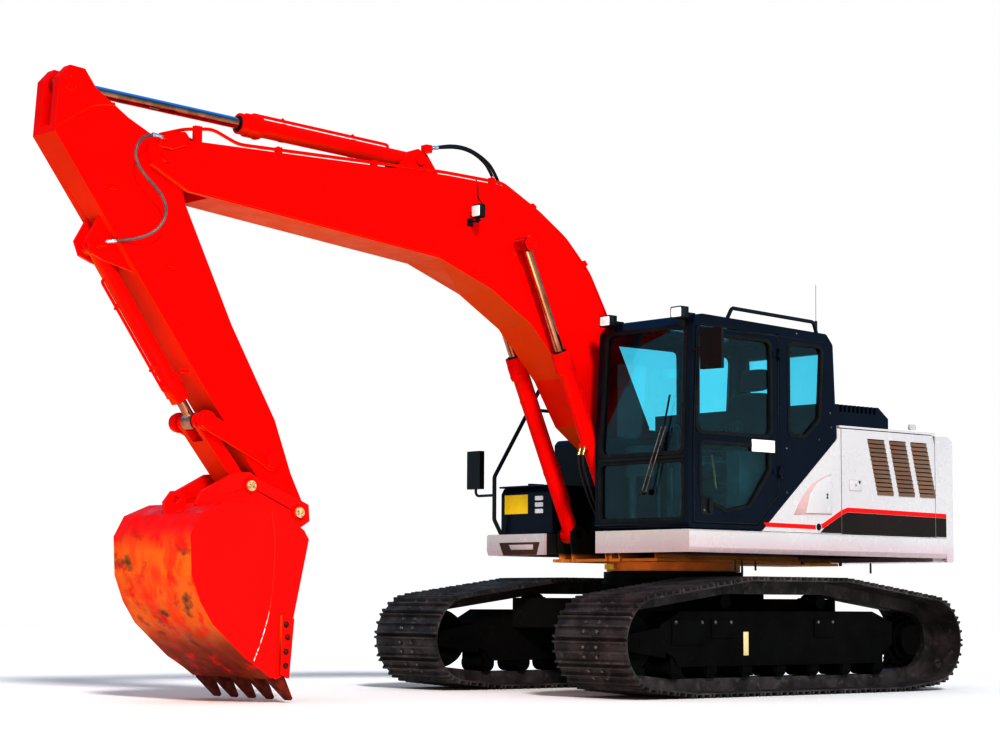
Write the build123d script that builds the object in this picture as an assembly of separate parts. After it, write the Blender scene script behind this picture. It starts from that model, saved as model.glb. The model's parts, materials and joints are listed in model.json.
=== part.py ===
from build123d import *
import math
import os

# Crawler excavator of the 18 tonne class, millimetres.
# +X points forward, +Y to the operator's left, +Z up.
# The parts are drawn about the swing axis on the ground and moved at the end,
# so that the origin is the middle of the machine's footprint box.

# Undercarriage
gauge = 2200.0
shoe_width = 790.0
shoe_count = 46
shoe_start = 0.265
grouser_height = 26.0
shoe_plate = 12.0
link_height = 100.0
link_width = 180.0
idler_x = 1675.0
sprocket_x = -1630.0
end_height = 420.0
idler_radius = 237.0
roller_radius = 75.0
roller_width = 250.0
roller_first = 1240.0
roller_last = -1190.0
roller_count = 7
carrier_radius = 60.0
carrier_places = [620.0, -520.0]
carrier_height = 737.0
frame_width = 300.0
frame_bottom = 300.0
frame_skirt = 232.0
frame_top = 660.0
frame_front = 1420.0
frame_rear = -1360.0
sprocket_teeth = 21
seat_clearance = 0.3
carbody_half_length = 560.0
carbody_half_width = 520.0
carbody_bottom = 470.0
carbody_top = 880.0
bearing_radius = 590.0
bearing_bore = 470.0
bearing_split = 985.0
tie_hole_x = 635.0
tie_hole_z = 590.0
tie_plate = 40.0
tie_hole_radius = 32.0

# Upper structure
deck_bottom = 1060.0
deck_top = 1300.0
deck_plate = 16.0
deck_half = 1230.0
deck_front_left = 1100.0
deck_front_right = 960.0
bay_left = 224.0
bay_right = -545.0
bay_rear = 560.0
deck_rear = -1930.0
skirt_bottom = 1120.0
side_y = 1270.0
lift_x = -2030.0
lift_y = 620.0
lift_z = 2225.0
lift_plate = 44.0
lift_hole_radius = 28.0
tail_radius = 2530.0
tail_corner = -2190.0
counterweight_front = -1950.0
counterweight_wall = 190.0
counterweight_bottom = 1090.0
house_top = 2180.0
panel_thick = 30.0
panel_gap = 8.0
door_gap = 6.0
door_front = -700.0
door_rear = -1940.0
tank_front = 250.0
tank_rear = -690.0
tank_top = 2150.0
hood_top = 2400.0
hood_front = -690.0
hood_rear = -1500.0
cover_top = house_top + 26
hood_pivot_x = hood_rear - 20
hood_pivot_z = cover_top + 22
hood_hinge_places = [-700.0, 920.0]

# Cab
cab_front = 1130.0
cab_rear = -640.0
cab_right = 220.0
cab_left = 1270.0
cab_bottom = 1310.0
cab_top = 3000.0
cab_wall = 45.0
glass_thick = 6.0
cab_notch_x = 280.0
cab_notch_z = 2090.0
door_low = 1350.0
door_top = 2900.0
cab_door_front = 1075.0
cab_door_rear = 70.0
cab_hinge_heights = [1780.0, 2740.0]
cab_pivot_x = cab_door_rear - 3
cab_pivot_y = cab_left + 14
knuckle_radius = 13.0
rail_height = 3085.0

# Front equipment
boom_y = -150.0
boom_width = 410.0
boom_plate = 10.0
boom_foot = (250.0, 1780.0)
boom_tip = (5200.0, 3865.0)
cylinder_offset = 280.0
cylinder_lug = 16.0
boom_cylinder_foot = (780.0, 1290.0)
boom_cylinder_head = (1825.0, 3590.0)
boom_barrel_length = 1600.0
boom_barrel_radius = 65.0
boom_rod_radius = 38.0
boom_rod_inside = 830.0
arm_cylinder_foot = (2780.0, 4175.0)
arm_cylinder_head = (5935.0, 4310.0)
arm_barrel_length = 1660.0
arm_barrel_radius = 68.0
arm_rod_radius = 42.0
arm_rod_inside = 1280.0
arm_width = 300.0
arm_plate = 10.0
arm_boss_radius = 122.0
bucket_cylinder_foot = (5655.0, 3205.0)
link_pin = (4795.0, 2008.0)
guide_pin = (4217.0, 1745.0)
bucket_link_pin = (4419.0, 1551.0)
bucket_pin = (3984.0, 1371.0)
bucket_barrel_length = 1290.0
bucket_barrel_radius = 60.0
bucket_rod_radius = 36.0
bucket_rod_inside = 185.0
bucket_width = 1000.0
pin_radius = 40.0
eye_clearance = 6.0
rod_gap = 0.4
rod_eye_wall = 26.0
link_boss_radius = 58.0


def point(x, z, y=0.0):
    return (x, y, z)


def side_face(outline, radii=None):
    """Face in the XZ plane from (x, z) corners; radii rounds every corner."""
    corners = [point(x, z) for x, z in outline]
    if radii is None:
        return make_face(Polyline(*corners, close=True))
    return make_face(FilletPolyline(*corners, radius=radii, close=True))


def side_plate(outline, y_low, y_high, radii=None):
    """Plate whose outline lies in XZ, from y_low to y_high."""
    face = side_face(outline, radii)
    return extrude(Pos(0, y_low, 0) * face, amount=y_high - y_low, dir=(0, 1, 0))


def plan_plate(outline, z_low, z_high, radii=None):
    """Plate whose outline lies in XY, from z_low to z_high."""
    corners = [(x, y, 0) for x, y in outline]
    if radii is None:
        face = make_face(Polyline(*corners, close=True))
    else:
        face = make_face(FilletPolyline(*corners, radius=radii, close=True))
    return extrude(Pos(0, 0, z_low) * face, amount=z_high - z_low, dir=(0, 0, 1))


def block(x_one, x_two, y_one, y_two, z_one, z_two):
    """Box between two corners, given in either order."""
    size = (abs(x_two - x_one), abs(y_two - y_one), abs(z_two - z_one))
    middle = ((x_one + x_two) / 2, (y_one + y_two) / 2, (z_one + z_two) / 2)
    return Pos(*middle) * Box(*size)


def cross_pin(place, y_one, y_two, radius):
    """Round bar along Y through an (x, z) place."""
    middle = Pos(place[0], (y_one + y_two) / 2, place[1])
    return middle * Rot(90, 0, 0) * Cylinder(radius, abs(y_two - y_one))


def upright(x, y, z_low, z_high, radius):
    return Pos(x, y, (z_low + z_high) / 2) * Cylinder(radius, z_high - z_low)


def rod_from(start, end, y, begin, finish, radius):
    """Round bar on the line from start to end in XZ, between two distances along it."""
    along = Vector(end[0] - start[0], 0, end[1] - start[1]).normalized()
    foot = Vector(start[0], y, start[1]) + along * begin
    plane = Plane(origin=foot, z_dir=along)
    low = (Align.CENTER, Align.CENTER, Align.MIN)
    return plane * Cylinder(radius, finish - begin, align=low)


def pipe_along(points, radius, bend):
    """Bent bar of eight sides through 3D points."""
    path = FilletPolyline(*points, radius=bend)
    start = Plane(origin=path @ 0, z_dir=path % 0)
    return sweep(start * RegularPolygon(radius, 8), path=path)


def distance(a, b):
    return math.hypot(b[0] - a[0], b[1] - a[1])


def mirrored(shape):
    """Copy on the other side of the machine's middle plane."""
    return mirror(shape, about=Plane.XZ)


# Tracks

belt_lift = shoe_plate + link_height
roller_height = grouser_height + belt_lift + roller_radius


def belt_face():
    """Side view of the track's plates, taut over its wheels."""
    wheels = [
        (idler_x, end_height, idler_radius),
        (sprocket_x, end_height, idler_radius),
        (roller_first, roller_height, roller_radius),
        (roller_last, roller_height, roller_radius),
        (carrier_places[0], carrier_height, carrier_radius),
        (carrier_places[1], carrier_height, carrier_radius),
    ]
    circles = []
    for x, z, radius in wheels:
        circles += Edge.make_circle(radius + belt_lift, Plane.XY.offset(0)).moved(Pos(x, z, 0)).edges()
    return make_hull(circles)


def track_loop(y_middle):
    """Closed loop of triple grouser shoes over a band of links."""
    belt = belt_face()
    path = belt.face().outer_wire()
    start, ahead = path.position_at(0), path.tangent_at(0)
    turn = -1 if belt.face().is_inside(start + Vector(ahead.Y, -ahead.X, 0)) else 1
    # shoe_start, a share of the pitch, keeps the grousers clear of the ends of the flat run
    # along is the share of a shoe's pitch, rise is 1 at a grouser's tip and below 0 in the gap
    shoe = [
        (0.00, -0.3), (0.05, 0.0), (0.085, 1.0), (0.14, 1.0), (0.18, 0.0), (0.42, 0.0),
        (0.455, 1.0), (0.525, 1.0), (0.56, 0.0), (0.82, 0.0), (0.86, 1.0), (0.92, 1.0),
    ]
    corners = []
    for number in range(shoe_count):
        for along, rise in shoe:
            share = (number + along + shoe_start) / shoe_count % 1.0
            spot = path.position_at(share)
            tangent = path.tangent_at(share)
            outward = Vector(tangent.Y, -tangent.X, 0) * turn
            corners.append(spot + outward * (rise * grouser_height))
    outer = make_face(Polyline(*corners, close=True))
    shoes = extrude(outer - offset(belt, -shoe_plate), amount=shoe_width / 2, both=True)
    links = offset(belt, -shoe_plate) - offset(belt, -belt_lift)
    chain = extrude(links, amount=link_width / 2, both=True)
    return Pos(0, y_middle, 0) * Rot(90, 0, 0) * (shoes + chain)


def sprocket(y_middle):
    """Toothed drive ring on a stepped final drive case."""
    tip = idler_radius - seat_clearance
    root = tip - 34
    corners = []
    for tooth in range(sprocket_teeth):
        for share, radius in [(0.0, root), (0.28, root), (0.42, tip), (0.58, tip), (0.72, root)]:
            angle = 2 * math.pi * (tooth + share) / sprocket_teeth
            corners.append((radius * math.cos(angle), radius * math.sin(angle)))
    ring = extrude(make_face(Polyline(*corners, close=True)), amount=27, both=True)
    hub = Pos(0, 0, 0) * Cylinder(165, 150)
    case = Pos(0, 0, -105) * Cylinder(130, 60)
    wheel = ring + hub + case
    return Pos(sprocket_x, y_middle, end_height) * Rot(90, 0, 0) * wheel


def idler(y_middle):
    """Front guide wheel with a raised centre flange and its axle."""
    rim = idler_radius - seat_clearance
    wheel = Cylinder(rim - 18, 170) + Cylinder(rim, 84) + Cylinder(38, frame_width - 10)
    return Pos(idler_x, y_middle, end_height) * Rot(90, 0, 0) * wheel


def lower_roller(x, y_middle):
    """Track roller between the two ears of the frame."""
    body = Cylinder(roller_radius - seat_clearance, roller_width)
    return Pos(x, y_middle, roller_height) * Rot(90, 0, 0) * body


def carrier_roller(x, y_middle):
    """Top roller on a stub from the frame's inner side."""
    body = Cylinder(carrier_radius - seat_clearance, 170)
    return Pos(x, y_middle, carrier_height) * Rot(90, 0, 0) * body


def track_frame(side):
    """Box beam between the end wheels, with idler forks and roller guards."""
    y = side * gauge / 2
    half = frame_width / 2
    outline = [
        (frame_rear, frame_bottom + 90), (frame_rear + 160, frame_bottom), (frame_front - 160, frame_bottom),
        (frame_front, frame_bottom + 70), (frame_front, frame_top - 110), (frame_front - 220, frame_top),
        (frame_rear + 260, frame_top), (frame_rear, frame_top - 90),
    ]
    beam = side_plate(outline, y - half, y + half)
    hollow = block(frame_rear + 300, frame_front - 200, y - half + 14, y + half - 14, frame_bottom + 14, frame_top - 60)
    beam -= hollow
    fork = side_plate(
        [(frame_front - 60, 300), (idler_x + 120, 360), (idler_x + 120, 480), (frame_front - 60, 540)],
        y - half, y + half,
    )
    fork -= block(frame_front, idler_x + 200, y - 100, y + 100, 200, 700)
    fork -= cross_pin((idler_x, end_height), y - half - 1, y + half + 1, 38 + seat_clearance)
    motor_plate = side_plate(
        [(frame_rear + 60, frame_bottom + 80), (sprocket_x + 40, 300), (sprocket_x - 130, 370),
         (sprocket_x - 130, 470), (sprocket_x + 40, 550), (frame_rear + 60, frame_top - 80)],
        y - side * half - 20, y - side * half + 20,
    )
    motor = cross_pin((sprocket_x, end_height), y - half - 40, y - half + 15, 130)
    if side < 0:
        motor = cross_pin((sprocket_x, end_height), y + half - 15, y + half + 40, 130)
    frame = beam + fork + motor_plate + motor
    for edge in (-1, 1):
        guard = [(frame_rear + 150, frame_bottom + 10), (frame_rear + 190, frame_skirt),
                 (frame_front - 190, frame_skirt), (frame_front - 150, frame_bottom + 10)]
        frame += side_plate(guard, *sorted([y + edge * half, y + edge * (half - 12)]))
    for x in roller_places():
        for edge in (-1, 1):
            seat = y + edge * (roller_width / 2 + seat_clearance)
            frame += block(x - 55, x + 55, seat, y + edge * (half - 12), roller_height - 40, frame_bottom + 30)
    for x in carrier_places:
        frame += block(x - 45, x + 45, y - side * half, y - side * (half - 40), frame_top - 5, carrier_height)
        frame += cross_pin((x, carrier_height), *sorted([y - side * half, y - side * (85 + seat_clearance)]), 32)
    return frame


def roller_places():
    step = (roller_first - roller_last) / (roller_count - 1)
    return [roller_last + number * step for number in range(roller_count)]


def carbody():
    """Centre body and four legs that carry the swing bearing."""
    centre = block(
        -carbody_half_length, carbody_half_length, -carbody_half_width, carbody_half_width,
        carbody_bottom, carbody_top,
    )
    centre -= block(
        -carbody_half_length + 20, carbody_half_length - 20, -carbody_half_width + 20, carbody_half_width - 20,
        carbody_bottom - 1, carbody_top - 30,
    )
    body = centre + upright(0, 0, carbody_top - 30, carbody_top + 30, bearing_radius + 20)
    inner = gauge / 2 - frame_width / 2
    for front in (-1, 1):
        for side in (-1, 1):
            near = carbody_half_width - 60
            leg = plan_plate(
                [(front * 180, side * near), (front * 560, side * near), (front * 980, side * inner),
                 (front * 520, side * inner)],
                frame_bottom + 210, frame_top + 100,
            )
            body += leg
    body -= upright(0, 0, carbody_top - 60, carbody_top + 40, bearing_bore - 120)
    for front in (-1, 1):
        lug = plan_plate(
            [(front * (carbody_half_length - 10), -110), (front * (tie_hole_x + 20), -65), (front * (tie_hole_x + 60), -30),
             (front * (tie_hole_x + 60), 30), (front * (tie_hole_x + 20), 65), (front * (carbody_half_length - 10), 110)],
            tie_hole_z - tie_plate / 2, tie_hole_z + tie_plate / 2,
        )
        lug -= upright(front * tie_hole_x, 0, tie_hole_z - tie_plate, tie_hole_z + tie_plate, tie_hole_radius)
        body += lug
    return body


def swing_bearing():
    """Lower ring of the swing bearing, bolted to the centre body."""
    ring = upright(0, 0, carbody_top + 30, bearing_split - 3, bearing_radius)
    ring -= upright(0, 0, carbody_top + 20, bearing_split + 5, bearing_bore)
    return ring


# Upper structure

def deck_outline():
    """Plan of the deck, with a bay in front for the feet of the boom's cylinders."""
    return [
        (deck_front_left, deck_half), (deck_front_left, bay_left), (bay_rear, bay_left),
        (bay_rear, bay_right), (deck_front_right, bay_right), (deck_front_right, -deck_half),
        (deck_rear, -deck_half), (deck_rear, deck_half),
    ]


def main_frame():
    """Plated deck on two girders, with the boom's brackets and the bearing's upper ring."""
    deck = plan_plate(deck_outline(), deck_top - deck_plate, deck_top)
    solid_rim = plan_plate(deck_outline(), skirt_bottom + 10, deck_top - deck_plate)
    outline = make_face(Polyline(*[(x, y, 0) for x, y in deck_outline()], close=True))
    inside = extrude(Pos(0, 0, skirt_bottom) * offset(outline, -20), amount=deck_top - skirt_bottom, dir=(0, 0, 1))
    rim = solid_rim - inside
    frame = deck + rim
    base = block(-980, 820, -620, 620, deck_bottom, deck_bottom + 25)
    base += block(deck_rear, -980, boom_y - 330, boom_y + 330, deck_bottom, deck_bottom + 25)
    frame += base
    bracket_gap = boom_width / 2 + eye_clearance
    for side in (-1, 1):
        inner = boom_y + side * bracket_gap
        outer = boom_y + side * (bracket_gap + 34)
        low, high = sorted([inner, outer])
        girder = side_plate(
            [(deck_rear, deck_bottom), (820, deck_bottom), (820, 1130), (650, 1180), (560, 1440),
             (350, 1870), (250, 1910), (140, 1870), (-300, 1420), (-620, deck_top), (deck_rear, deck_top)],
            low, high,
        )
        frame += girder
        frame -= cross_pin(boom_foot, low - 1, high + 1, pin_radius + rod_gap)
    for y in (-560, 560):
        frame += block(-940, 780, y - 12, y + 12, deck_bottom, deck_top)
    for x in (-940, bay_rear - 12):
        frame += block(x - 12, x + 12, -deck_half + 10, deck_half - 10, skirt_bottom + 10, deck_top)
    ring = upright(0, 0, bearing_split + 3, deck_bottom, bearing_radius - 25)
    ring += upright(0, 0, bearing_split - 40, bearing_split + 10, bearing_bore - seat_clearance)
    ring -= upright(0, 0, bearing_split - 45, deck_bottom + 5, bearing_bore - 60)
    frame += ring
    for side in (-1, 1):
        y = boom_y + side * cylinder_offset
        half = boom_barrel_radius + eye_clearance
        for edge in (-1, 1):
            low, high = sorted([y + edge * half, y + edge * (half + cylinder_lug)])
            lug = side_plate(
                [(640, deck_bottom), (840, deck_bottom), (865, 1210), (865, 1310), (800, 1370), (720, 1350), (600, 1200)],
                low, high,
            )
            frame += lug
            frame -= cross_pin(boom_cylinder_foot, low - 1, high + 1, pin_radius + rod_gap)
    return frame


def boom_foot_pins():
    """The pins that hold the boom and the feet of its two cylinders."""
    reach = boom_width / 2 + 34 + eye_clearance + 14
    pins = cross_pin(boom_foot, boom_y - reach, boom_y + reach, pin_radius)
    half = boom_barrel_radius + eye_clearance + cylinder_lug
    for side in (-1, 1):
        y = boom_y + side * cylinder_offset
        pins += cross_pin(boom_cylinder_foot, y - half, y + half, pin_radius)
    return pins


def side_skirts():
    """Curved white sills under the panels on both sides and the front fascia."""
    seat = deck_half + seat_clearance
    profile = [(seat, skirt_bottom), (side_y - 12, skirt_bottom), (side_y + 8, skirt_bottom + 40),
               (side_y + 8, deck_top - 14), (side_y - 8, deck_top), (seat, deck_top)]
    corners = [(0, y, z) for y, z in profile]
    face = make_face(Polyline(*corners, close=True))
    rear = tail_corner + 90
    left = extrude(Pos(rear, 0, 0) * face, amount=deck_front_left + 30 - rear, dir=(1, 0, 0))
    right = mirrored(extrude(Pos(rear, 0, 0) * face, amount=deck_front_right + 30 - rear, dir=(1, 0, 0)))
    left -= engine_door_pivots(1, pivot_radius + seat_clearance)
    right -= engine_door_pivots(-1, pivot_radius + seat_clearance)
    front_left = block(deck_front_left + seat_clearance, deck_front_left + 31, bay_left, deck_half, skirt_bottom, deck_top)
    front_right = block(deck_front_right + seat_clearance, deck_front_right + 31, -deck_half, bay_right, skirt_bottom,
                        deck_top)
    return [left, front_left, right, front_right]


def tail_plan(front):
    """Plan of the tail: an arc about the swing axis between the two sides."""
    half = side_y
    corner = tail_corner
    rim = tail_radius
    start = (front, -half)
    right = (corner, -half)
    left = (corner, half)
    sides = Polyline((corner, half), (front, half), start, right)
    back = ThreePointArc(right, (-rim, 0), left)
    return make_face([sides, back])


def counterweight():
    """Cast tail with a rounded rim, chamfered top and two lifting eyes."""
    face = tail_plan(counterweight_front)
    body = extrude(Pos(0, 0, counterweight_bottom) * face, amount=house_top - counterweight_bottom, dir=(0, 0, 1))
    slope = Plane(origin=(tail_corner + 60, 0, house_top), x_dir=(0, 1, 0), z_dir=(-0.72, 0, 1))
    body -= slope * Box(4000, 3000, 900, align=(Align.CENTER, Align.CENTER, Align.MIN))
    for side in (-1, 1):
        body -= block(tail_corner + 90, counterweight_front + 1, side * deck_half, side * (side_y + 50),
                      counterweight_bottom - 1, deck_top)
        pocket_end = side * (side_y - counterweight_wall)
        body -= block(tail_corner, counterweight_front + 1, side * 60, pocket_end, 1330, house_top - 260)
        lug = side_plate(
            [(lift_x - 120, house_top - 40), (lift_x + 60, house_top - 40), (lift_x + 60, house_top + 30),
             (lift_x + 30, lift_z + 55), (lift_x - 60, lift_z + 55), (lift_x - 120, house_top)],
            side * lift_y - lift_plate / 2, side * lift_y + lift_plate / 2,
        )
        lug -= cross_pin((lift_x, lift_z), side * lift_y - lift_plate, side * lift_y + lift_plate, lift_hole_radius)
        body += lug
    return body


# Housing behind the cab

def left_side_panel():
    """White panel below and behind the cab, cut along the cab's sloping back edge."""
    fall = (cab_notch_z - cab_bottom) / (cab_notch_x - cab_rear)
    drop = panel_gap * math.hypot(1, fall)
    low_z = deck_top + seat_clearance
    back_x = cab_rear - panel_gap
    outline = [
        (cab_notch_x - (low_z - cab_bottom + drop) / fall, low_z), (door_front + panel_gap / 2, low_z),
        (door_front + panel_gap / 2, house_top), (back_x, house_top),
        (back_x, cab_bottom + (cab_notch_x - back_x) * fall - drop),
    ]
    return side_plate(outline, side_y - panel_thick, side_y)


def engine_door(side):
    """Side door with three columns of slanted louvres."""
    outline = [
        (door_front - panel_gap / 2, deck_top + door_gap), (door_rear, deck_top + door_gap),
        (door_rear, house_top - 70), (door_rear + 30, house_top), (door_front - panel_gap / 2, house_top),
    ]
    low, high = sorted([side * side_y, side * (side_y - panel_thick)])
    door = side_plate(outline, low, high)
    for column in range(louvre_columns):
        for row in range(louvre_rows):
            x = louvre_front - column * louvre_spacing - row * louvre_slant
            z = louvre_top - row * louvre_pitch
            slot = block(x - louvre_width, x, low - 1, high + 1, z - louvre_opening, z)
            door -= slot
    return door + engine_door_pivots(side, pivot_radius)


def engine_door_pivots(side, radius):
    """Pivots at the door's rear edge, in the sill below and the cover above."""
    y = side * (side_y - panel_thick / 2)
    lower = upright(engine_pivot_x, y, deck_top - pivot_reach, deck_top + 40, radius)
    upper = upright(engine_pivot_x, y, house_top - 40, house_top + pivot_reach, radius)
    return lower + upper


pivot_radius = 8.0
pivot_reach = 24.0
engine_pivot_x = door_rear + 40
louvre_columns = 3
louvre_rows = 13
louvre_front = -1040.0
louvre_spacing = 285.0
louvre_width = 220.0
louvre_top = 2110.0
louvre_pitch = 36.0
louvre_opening = 20.0
louvre_slant = 10.0


def engine_cover():
    """Fixed top deck between the side doors."""
    cover = block(counterweight_front + 4, door_front + 20, -side_y, side_y, house_top + door_gap, cover_top)
    cover -= block(hood_rear + 20, hood_front - 20, -860, 1080, house_top, house_top + 40)
    firewall = block(door_front + 4, door_front + 20, -600, side_y - panel_thick - door_gap, deck_top + seat_clearance,
                     cover_top)
    cover += firewall
    for side in (-1, 1):
        cover -= engine_door_pivots(side, pivot_radius + seat_clearance)
    for y in hood_hinge_places:
        for edge in (-1, 1):
            ear = block(hood_pivot_x - 14, hood_pivot_x + 14, y + edge * 26, y + edge * 38, cover_top - 5, hood_pivot_z + 14)
            cover += ear
        cover += cross_pin((hood_pivot_x, hood_pivot_z), y - 38, y + 38, pivot_radius)
    return cover


def engine_hood():
    """Raised lid over the engine with sloping rear and side slots."""
    foot = cover_top + door_gap
    outline = [(hood_front, foot), (hood_front, hood_top), (hood_rear + 130, hood_top),
               (hood_rear, hood_top - 90), (hood_rear, foot)]
    lid = side_plate(outline, -900, 1120)
    inner = [(hood_front - 20, house_top), (hood_front - 20, hood_top - 20), (hood_rear + 140, hood_top - 20),
             (hood_rear + 20, hood_top - 100), (hood_rear + 20, house_top)]
    lid -= side_plate(inner, -880, 1100)
    for number in range(9):
        x = hood_front - 170 - number * 55
        lid -= block(x - 30, x, 1060, 1121, hood_top - 60, hood_top + 1)
    for y in hood_hinge_places:
        strap = block(hood_pivot_x, hood_rear + 10, y - 20, y + 20, hood_pivot_z - 7, hood_pivot_z + 7)
        strap += cross_pin((hood_pivot_x, hood_pivot_z), y - 20, y + 20, 14)
        lid += strap - cross_pin((hood_pivot_x, hood_pivot_z), y - 21, y + 21, pivot_radius + seat_clearance)
    return lid


def engine_block():
    """Engine as one plain mass on four mounts."""
    engine = block(-1420, -800, -450, 650, 1420, 2100)
    for x in (-1340, -880):
        for y in (-380, 580):
            engine += block(x - 50, x + 50, y - 50, y + 50, deck_top, 1430)
    return engine


def fuel_tank():
    """Tank on the right side behind the step box."""
    low = deck_top + seat_clearance
    body = block(tank_rear, tank_front, -side_y, -620, low, tank_top)
    body = chamfer(body.edges().filter_by(Axis.Z) + body.edges().group_by(Axis.Z)[-1], 45)
    return body - block(tank_rear + 70, tank_front - 70, -side_y + 70, -690, low - 1, tank_top - 70)


def tool_box():
    """Front box that also serves as a step, with its lid."""
    low = deck_top + seat_clearance
    body = side_plate(
        [(900, low), (900, 1650), (870, 1700), (260, 1700), (260, low)],
        -1200, -548,
    )
    body -= block(300, 860, -1160, -588, low - 1, 1660)
    lid = side_plate([(915, 1700), (915, 1716), (260, 1716), (260, 1700)], -1215, -540)
    return [body, lid]


def valve_cover():
    """Dark rounded cover behind the boom foot on the right of the boom."""
    low = deck_top + seat_clearance
    body = block(-680, 180, -610, -400, low, 2220)
    body = fillet(body.edges().filter_by(Axis.Y).group_by(Axis.Z)[-1], 90)
    return body - block(-640, 140, -590, -420, low - 1, 2130)


# Cab

def cab_outline(inset=0.0):
    """Side view of the cab, clockwise from the lower front corner."""
    return [
        (cab_front - inset, cab_bottom + inset), (cab_front - inset, 1900 + inset / 2),
        (cab_front - 55 - inset, cab_top - 90), (cab_front - 150 - inset, cab_top - inset),
        (cab_rear + 120 + inset, cab_top - 45 - inset), (cab_rear + 40 + inset, cab_top - 130 - inset),
        (cab_rear + inset, cab_notch_z + 0.4 * inset), (cab_notch_x + 0.2 * inset, cab_bottom + inset),
    ]


def door_opening(inset=0.0):
    """Outline of the cab door in side view."""
    return [
        (cab_door_front - inset, door_low + inset), (cab_door_front - inset, 2000),
        (cab_door_front - 40 - inset, door_top - inset), (cab_door_rear + inset, door_top - inset),
        (cab_door_rear + inset, 1600), (cab_notch_x + 60 + inset, door_low + inset),
    ]


upper_window = [(1035.0, 2065.0), (1005.0, 2845.0), (165.0, 2845.0), (165.0, 2065.0)]
lower_window = [(990.0, 1985.0), (180.0, 1985.0), (180.0, 1800.0), (420.0, 1500.0), (700.0, 1450.0), (990.0, 1560.0)]
rear_quarter = [(-50.0, 2845.0), (-50.0, 2090.0), (-250.0, 2090.0), (-430.0, 2240.0), (-470.0, 2845.0)]
front_upper = [(cab_right + 55, 1900.0), (cab_right + 75, 2900.0), (cab_left - 75, 2900.0), (cab_left - 55, 1900.0)]
front_lower = [(cab_right + 55, 1380.0), (cab_right + 55, 1840.0), (cab_left - 55, 1840.0), (cab_left - 55, 1380.0)]


def front_cut(outline, x_low, x_high):
    """Prism along X whose outline is (y, z) corners."""
    corners = [(x_low, y, z) for y, z in outline]
    return extrude(make_face(Polyline(*corners, close=True)), amount=x_high - x_low, dir=(1, 0, 0))


def cab_shell():
    """Hollow cab with the door opening and every window cut."""
    shell = side_plate(cab_outline(), cab_right, cab_left, radii=40)
    shell -= side_plate(cab_outline(cab_wall), cab_right + cab_wall, cab_left - cab_wall)
    wall_low = cab_left - cab_wall - 5
    wall_high = cab_left + 5
    shell -= side_plate(door_opening(-6), wall_low, wall_high)
    shell -= side_plate(rear_quarter, wall_low, wall_high)
    shell -= side_plate(upper_window, cab_right - 5, cab_right + cab_wall + 5)
    shell -= side_plate(rear_quarter, cab_right - 5, cab_right + cab_wall + 5)
    shell -= front_cut(front_upper, cab_front - 260, cab_front + 40)
    shell -= front_cut(front_lower, cab_front - 120, cab_front + 40)
    shell -= block(cab_rear - 60, cab_rear + 130, cab_right + 110, cab_left - 110, 2250, 2800)
    shell -= block(250, 850, cab_right + 200, cab_left - 200, cab_top - 120, cab_top + 10)
    for x in (cab_notch_x + 90, cab_front - 90):
        for y in (cab_right + 100, cab_left - 110):
            shell += upright(x, y, deck_top + seat_clearance, cab_bottom + 30, 45)
    for z in cab_hinge_heights:
        shell += cab_hinge_leaf(z)
    return shell


def cab_hinge_leaf(z):
    """Fixed half of a door hinge: a leaf on the pillar, two knuckles and the pin."""
    leaf = block(cab_pivot_x - 60, cab_pivot_x - knuckle_radius - 2, cab_left - 1, cab_left + 7, z - 50, z + 50)
    for edge in (-1, 1):
        leaf += upright(cab_pivot_x, cab_pivot_y, z + edge * 36 - 14, z + edge * 36 + 14, knuckle_radius)
        leaf += block(cab_pivot_x - 30, cab_pivot_x, cab_left, cab_pivot_y + 4, z + edge * 36 - 14, z + edge * 36 + 14)
    return leaf + upright(cab_pivot_x, cab_pivot_y, z - 50, z + 50, pivot_radius)


def cab_hinge_strap(z):
    """Moving half of a door hinge, on the door's face."""
    strap = block(cab_pivot_x + 8, cab_pivot_x + 80, cab_left - 1, cab_left + 7, z - 20, z + 20)
    strap += block(cab_pivot_x, cab_pivot_x + 30, cab_left + 1, cab_pivot_y + 4, z - 20, z + 20)
    strap += upright(cab_pivot_x, cab_pivot_y, z - 20, z + 20, knuckle_radius)
    return strap - upright(cab_pivot_x, cab_pivot_y, z - 21, z + 21, pivot_radius + seat_clearance)


def pane_side(outline, y):
    return side_plate(outline, y, y + glass_thick)


def cab_panes():
    """All fixed window panes, each filling its cut."""
    middle_right = cab_right + cab_wall / 2
    middle_left = cab_left - cab_wall / 2
    panes = [
        pane_side(upper_window, middle_right), pane_side(rear_quarter, middle_right),
        pane_side(rear_quarter, middle_left),
    ]
    lean = 55.0 / (cab_top - 90 - 1900)
    lean_face = [(cab_front - 22, 1900), (cab_front - 22 - lean * 1000, 2900)]
    screen = side_plate(
        [lean_face[0], lean_face[1], (lean_face[1][0] - glass_thick, 2900), (lean_face[0][0] - glass_thick, 1900)],
        cab_right + 40, cab_left - 40,
    )
    window = front_cut(front_upper, cab_front - 260, cab_front + 40)
    panes.append(screen & window)
    panes.append(front_cut(front_lower, cab_front - 26, cab_front - 26 + glass_thick))
    back = block(cab_rear + 10, cab_rear + 130, cab_right + 110, cab_left - 110, 2250, 2800)
    slope = [(cab_rear + 20, 2240), (cab_rear + 20 + 30, 2810), (cab_rear + 26 + 30, 2810), (cab_rear + 26, 2240)]
    panes.append(side_plate(slope, cab_right + 100, cab_left - 100) & back)
    panes.append(block(250, 850, cab_right + 200, cab_left - 200, cab_top - 35, cab_top - 35 + glass_thick))
    return panes


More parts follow.
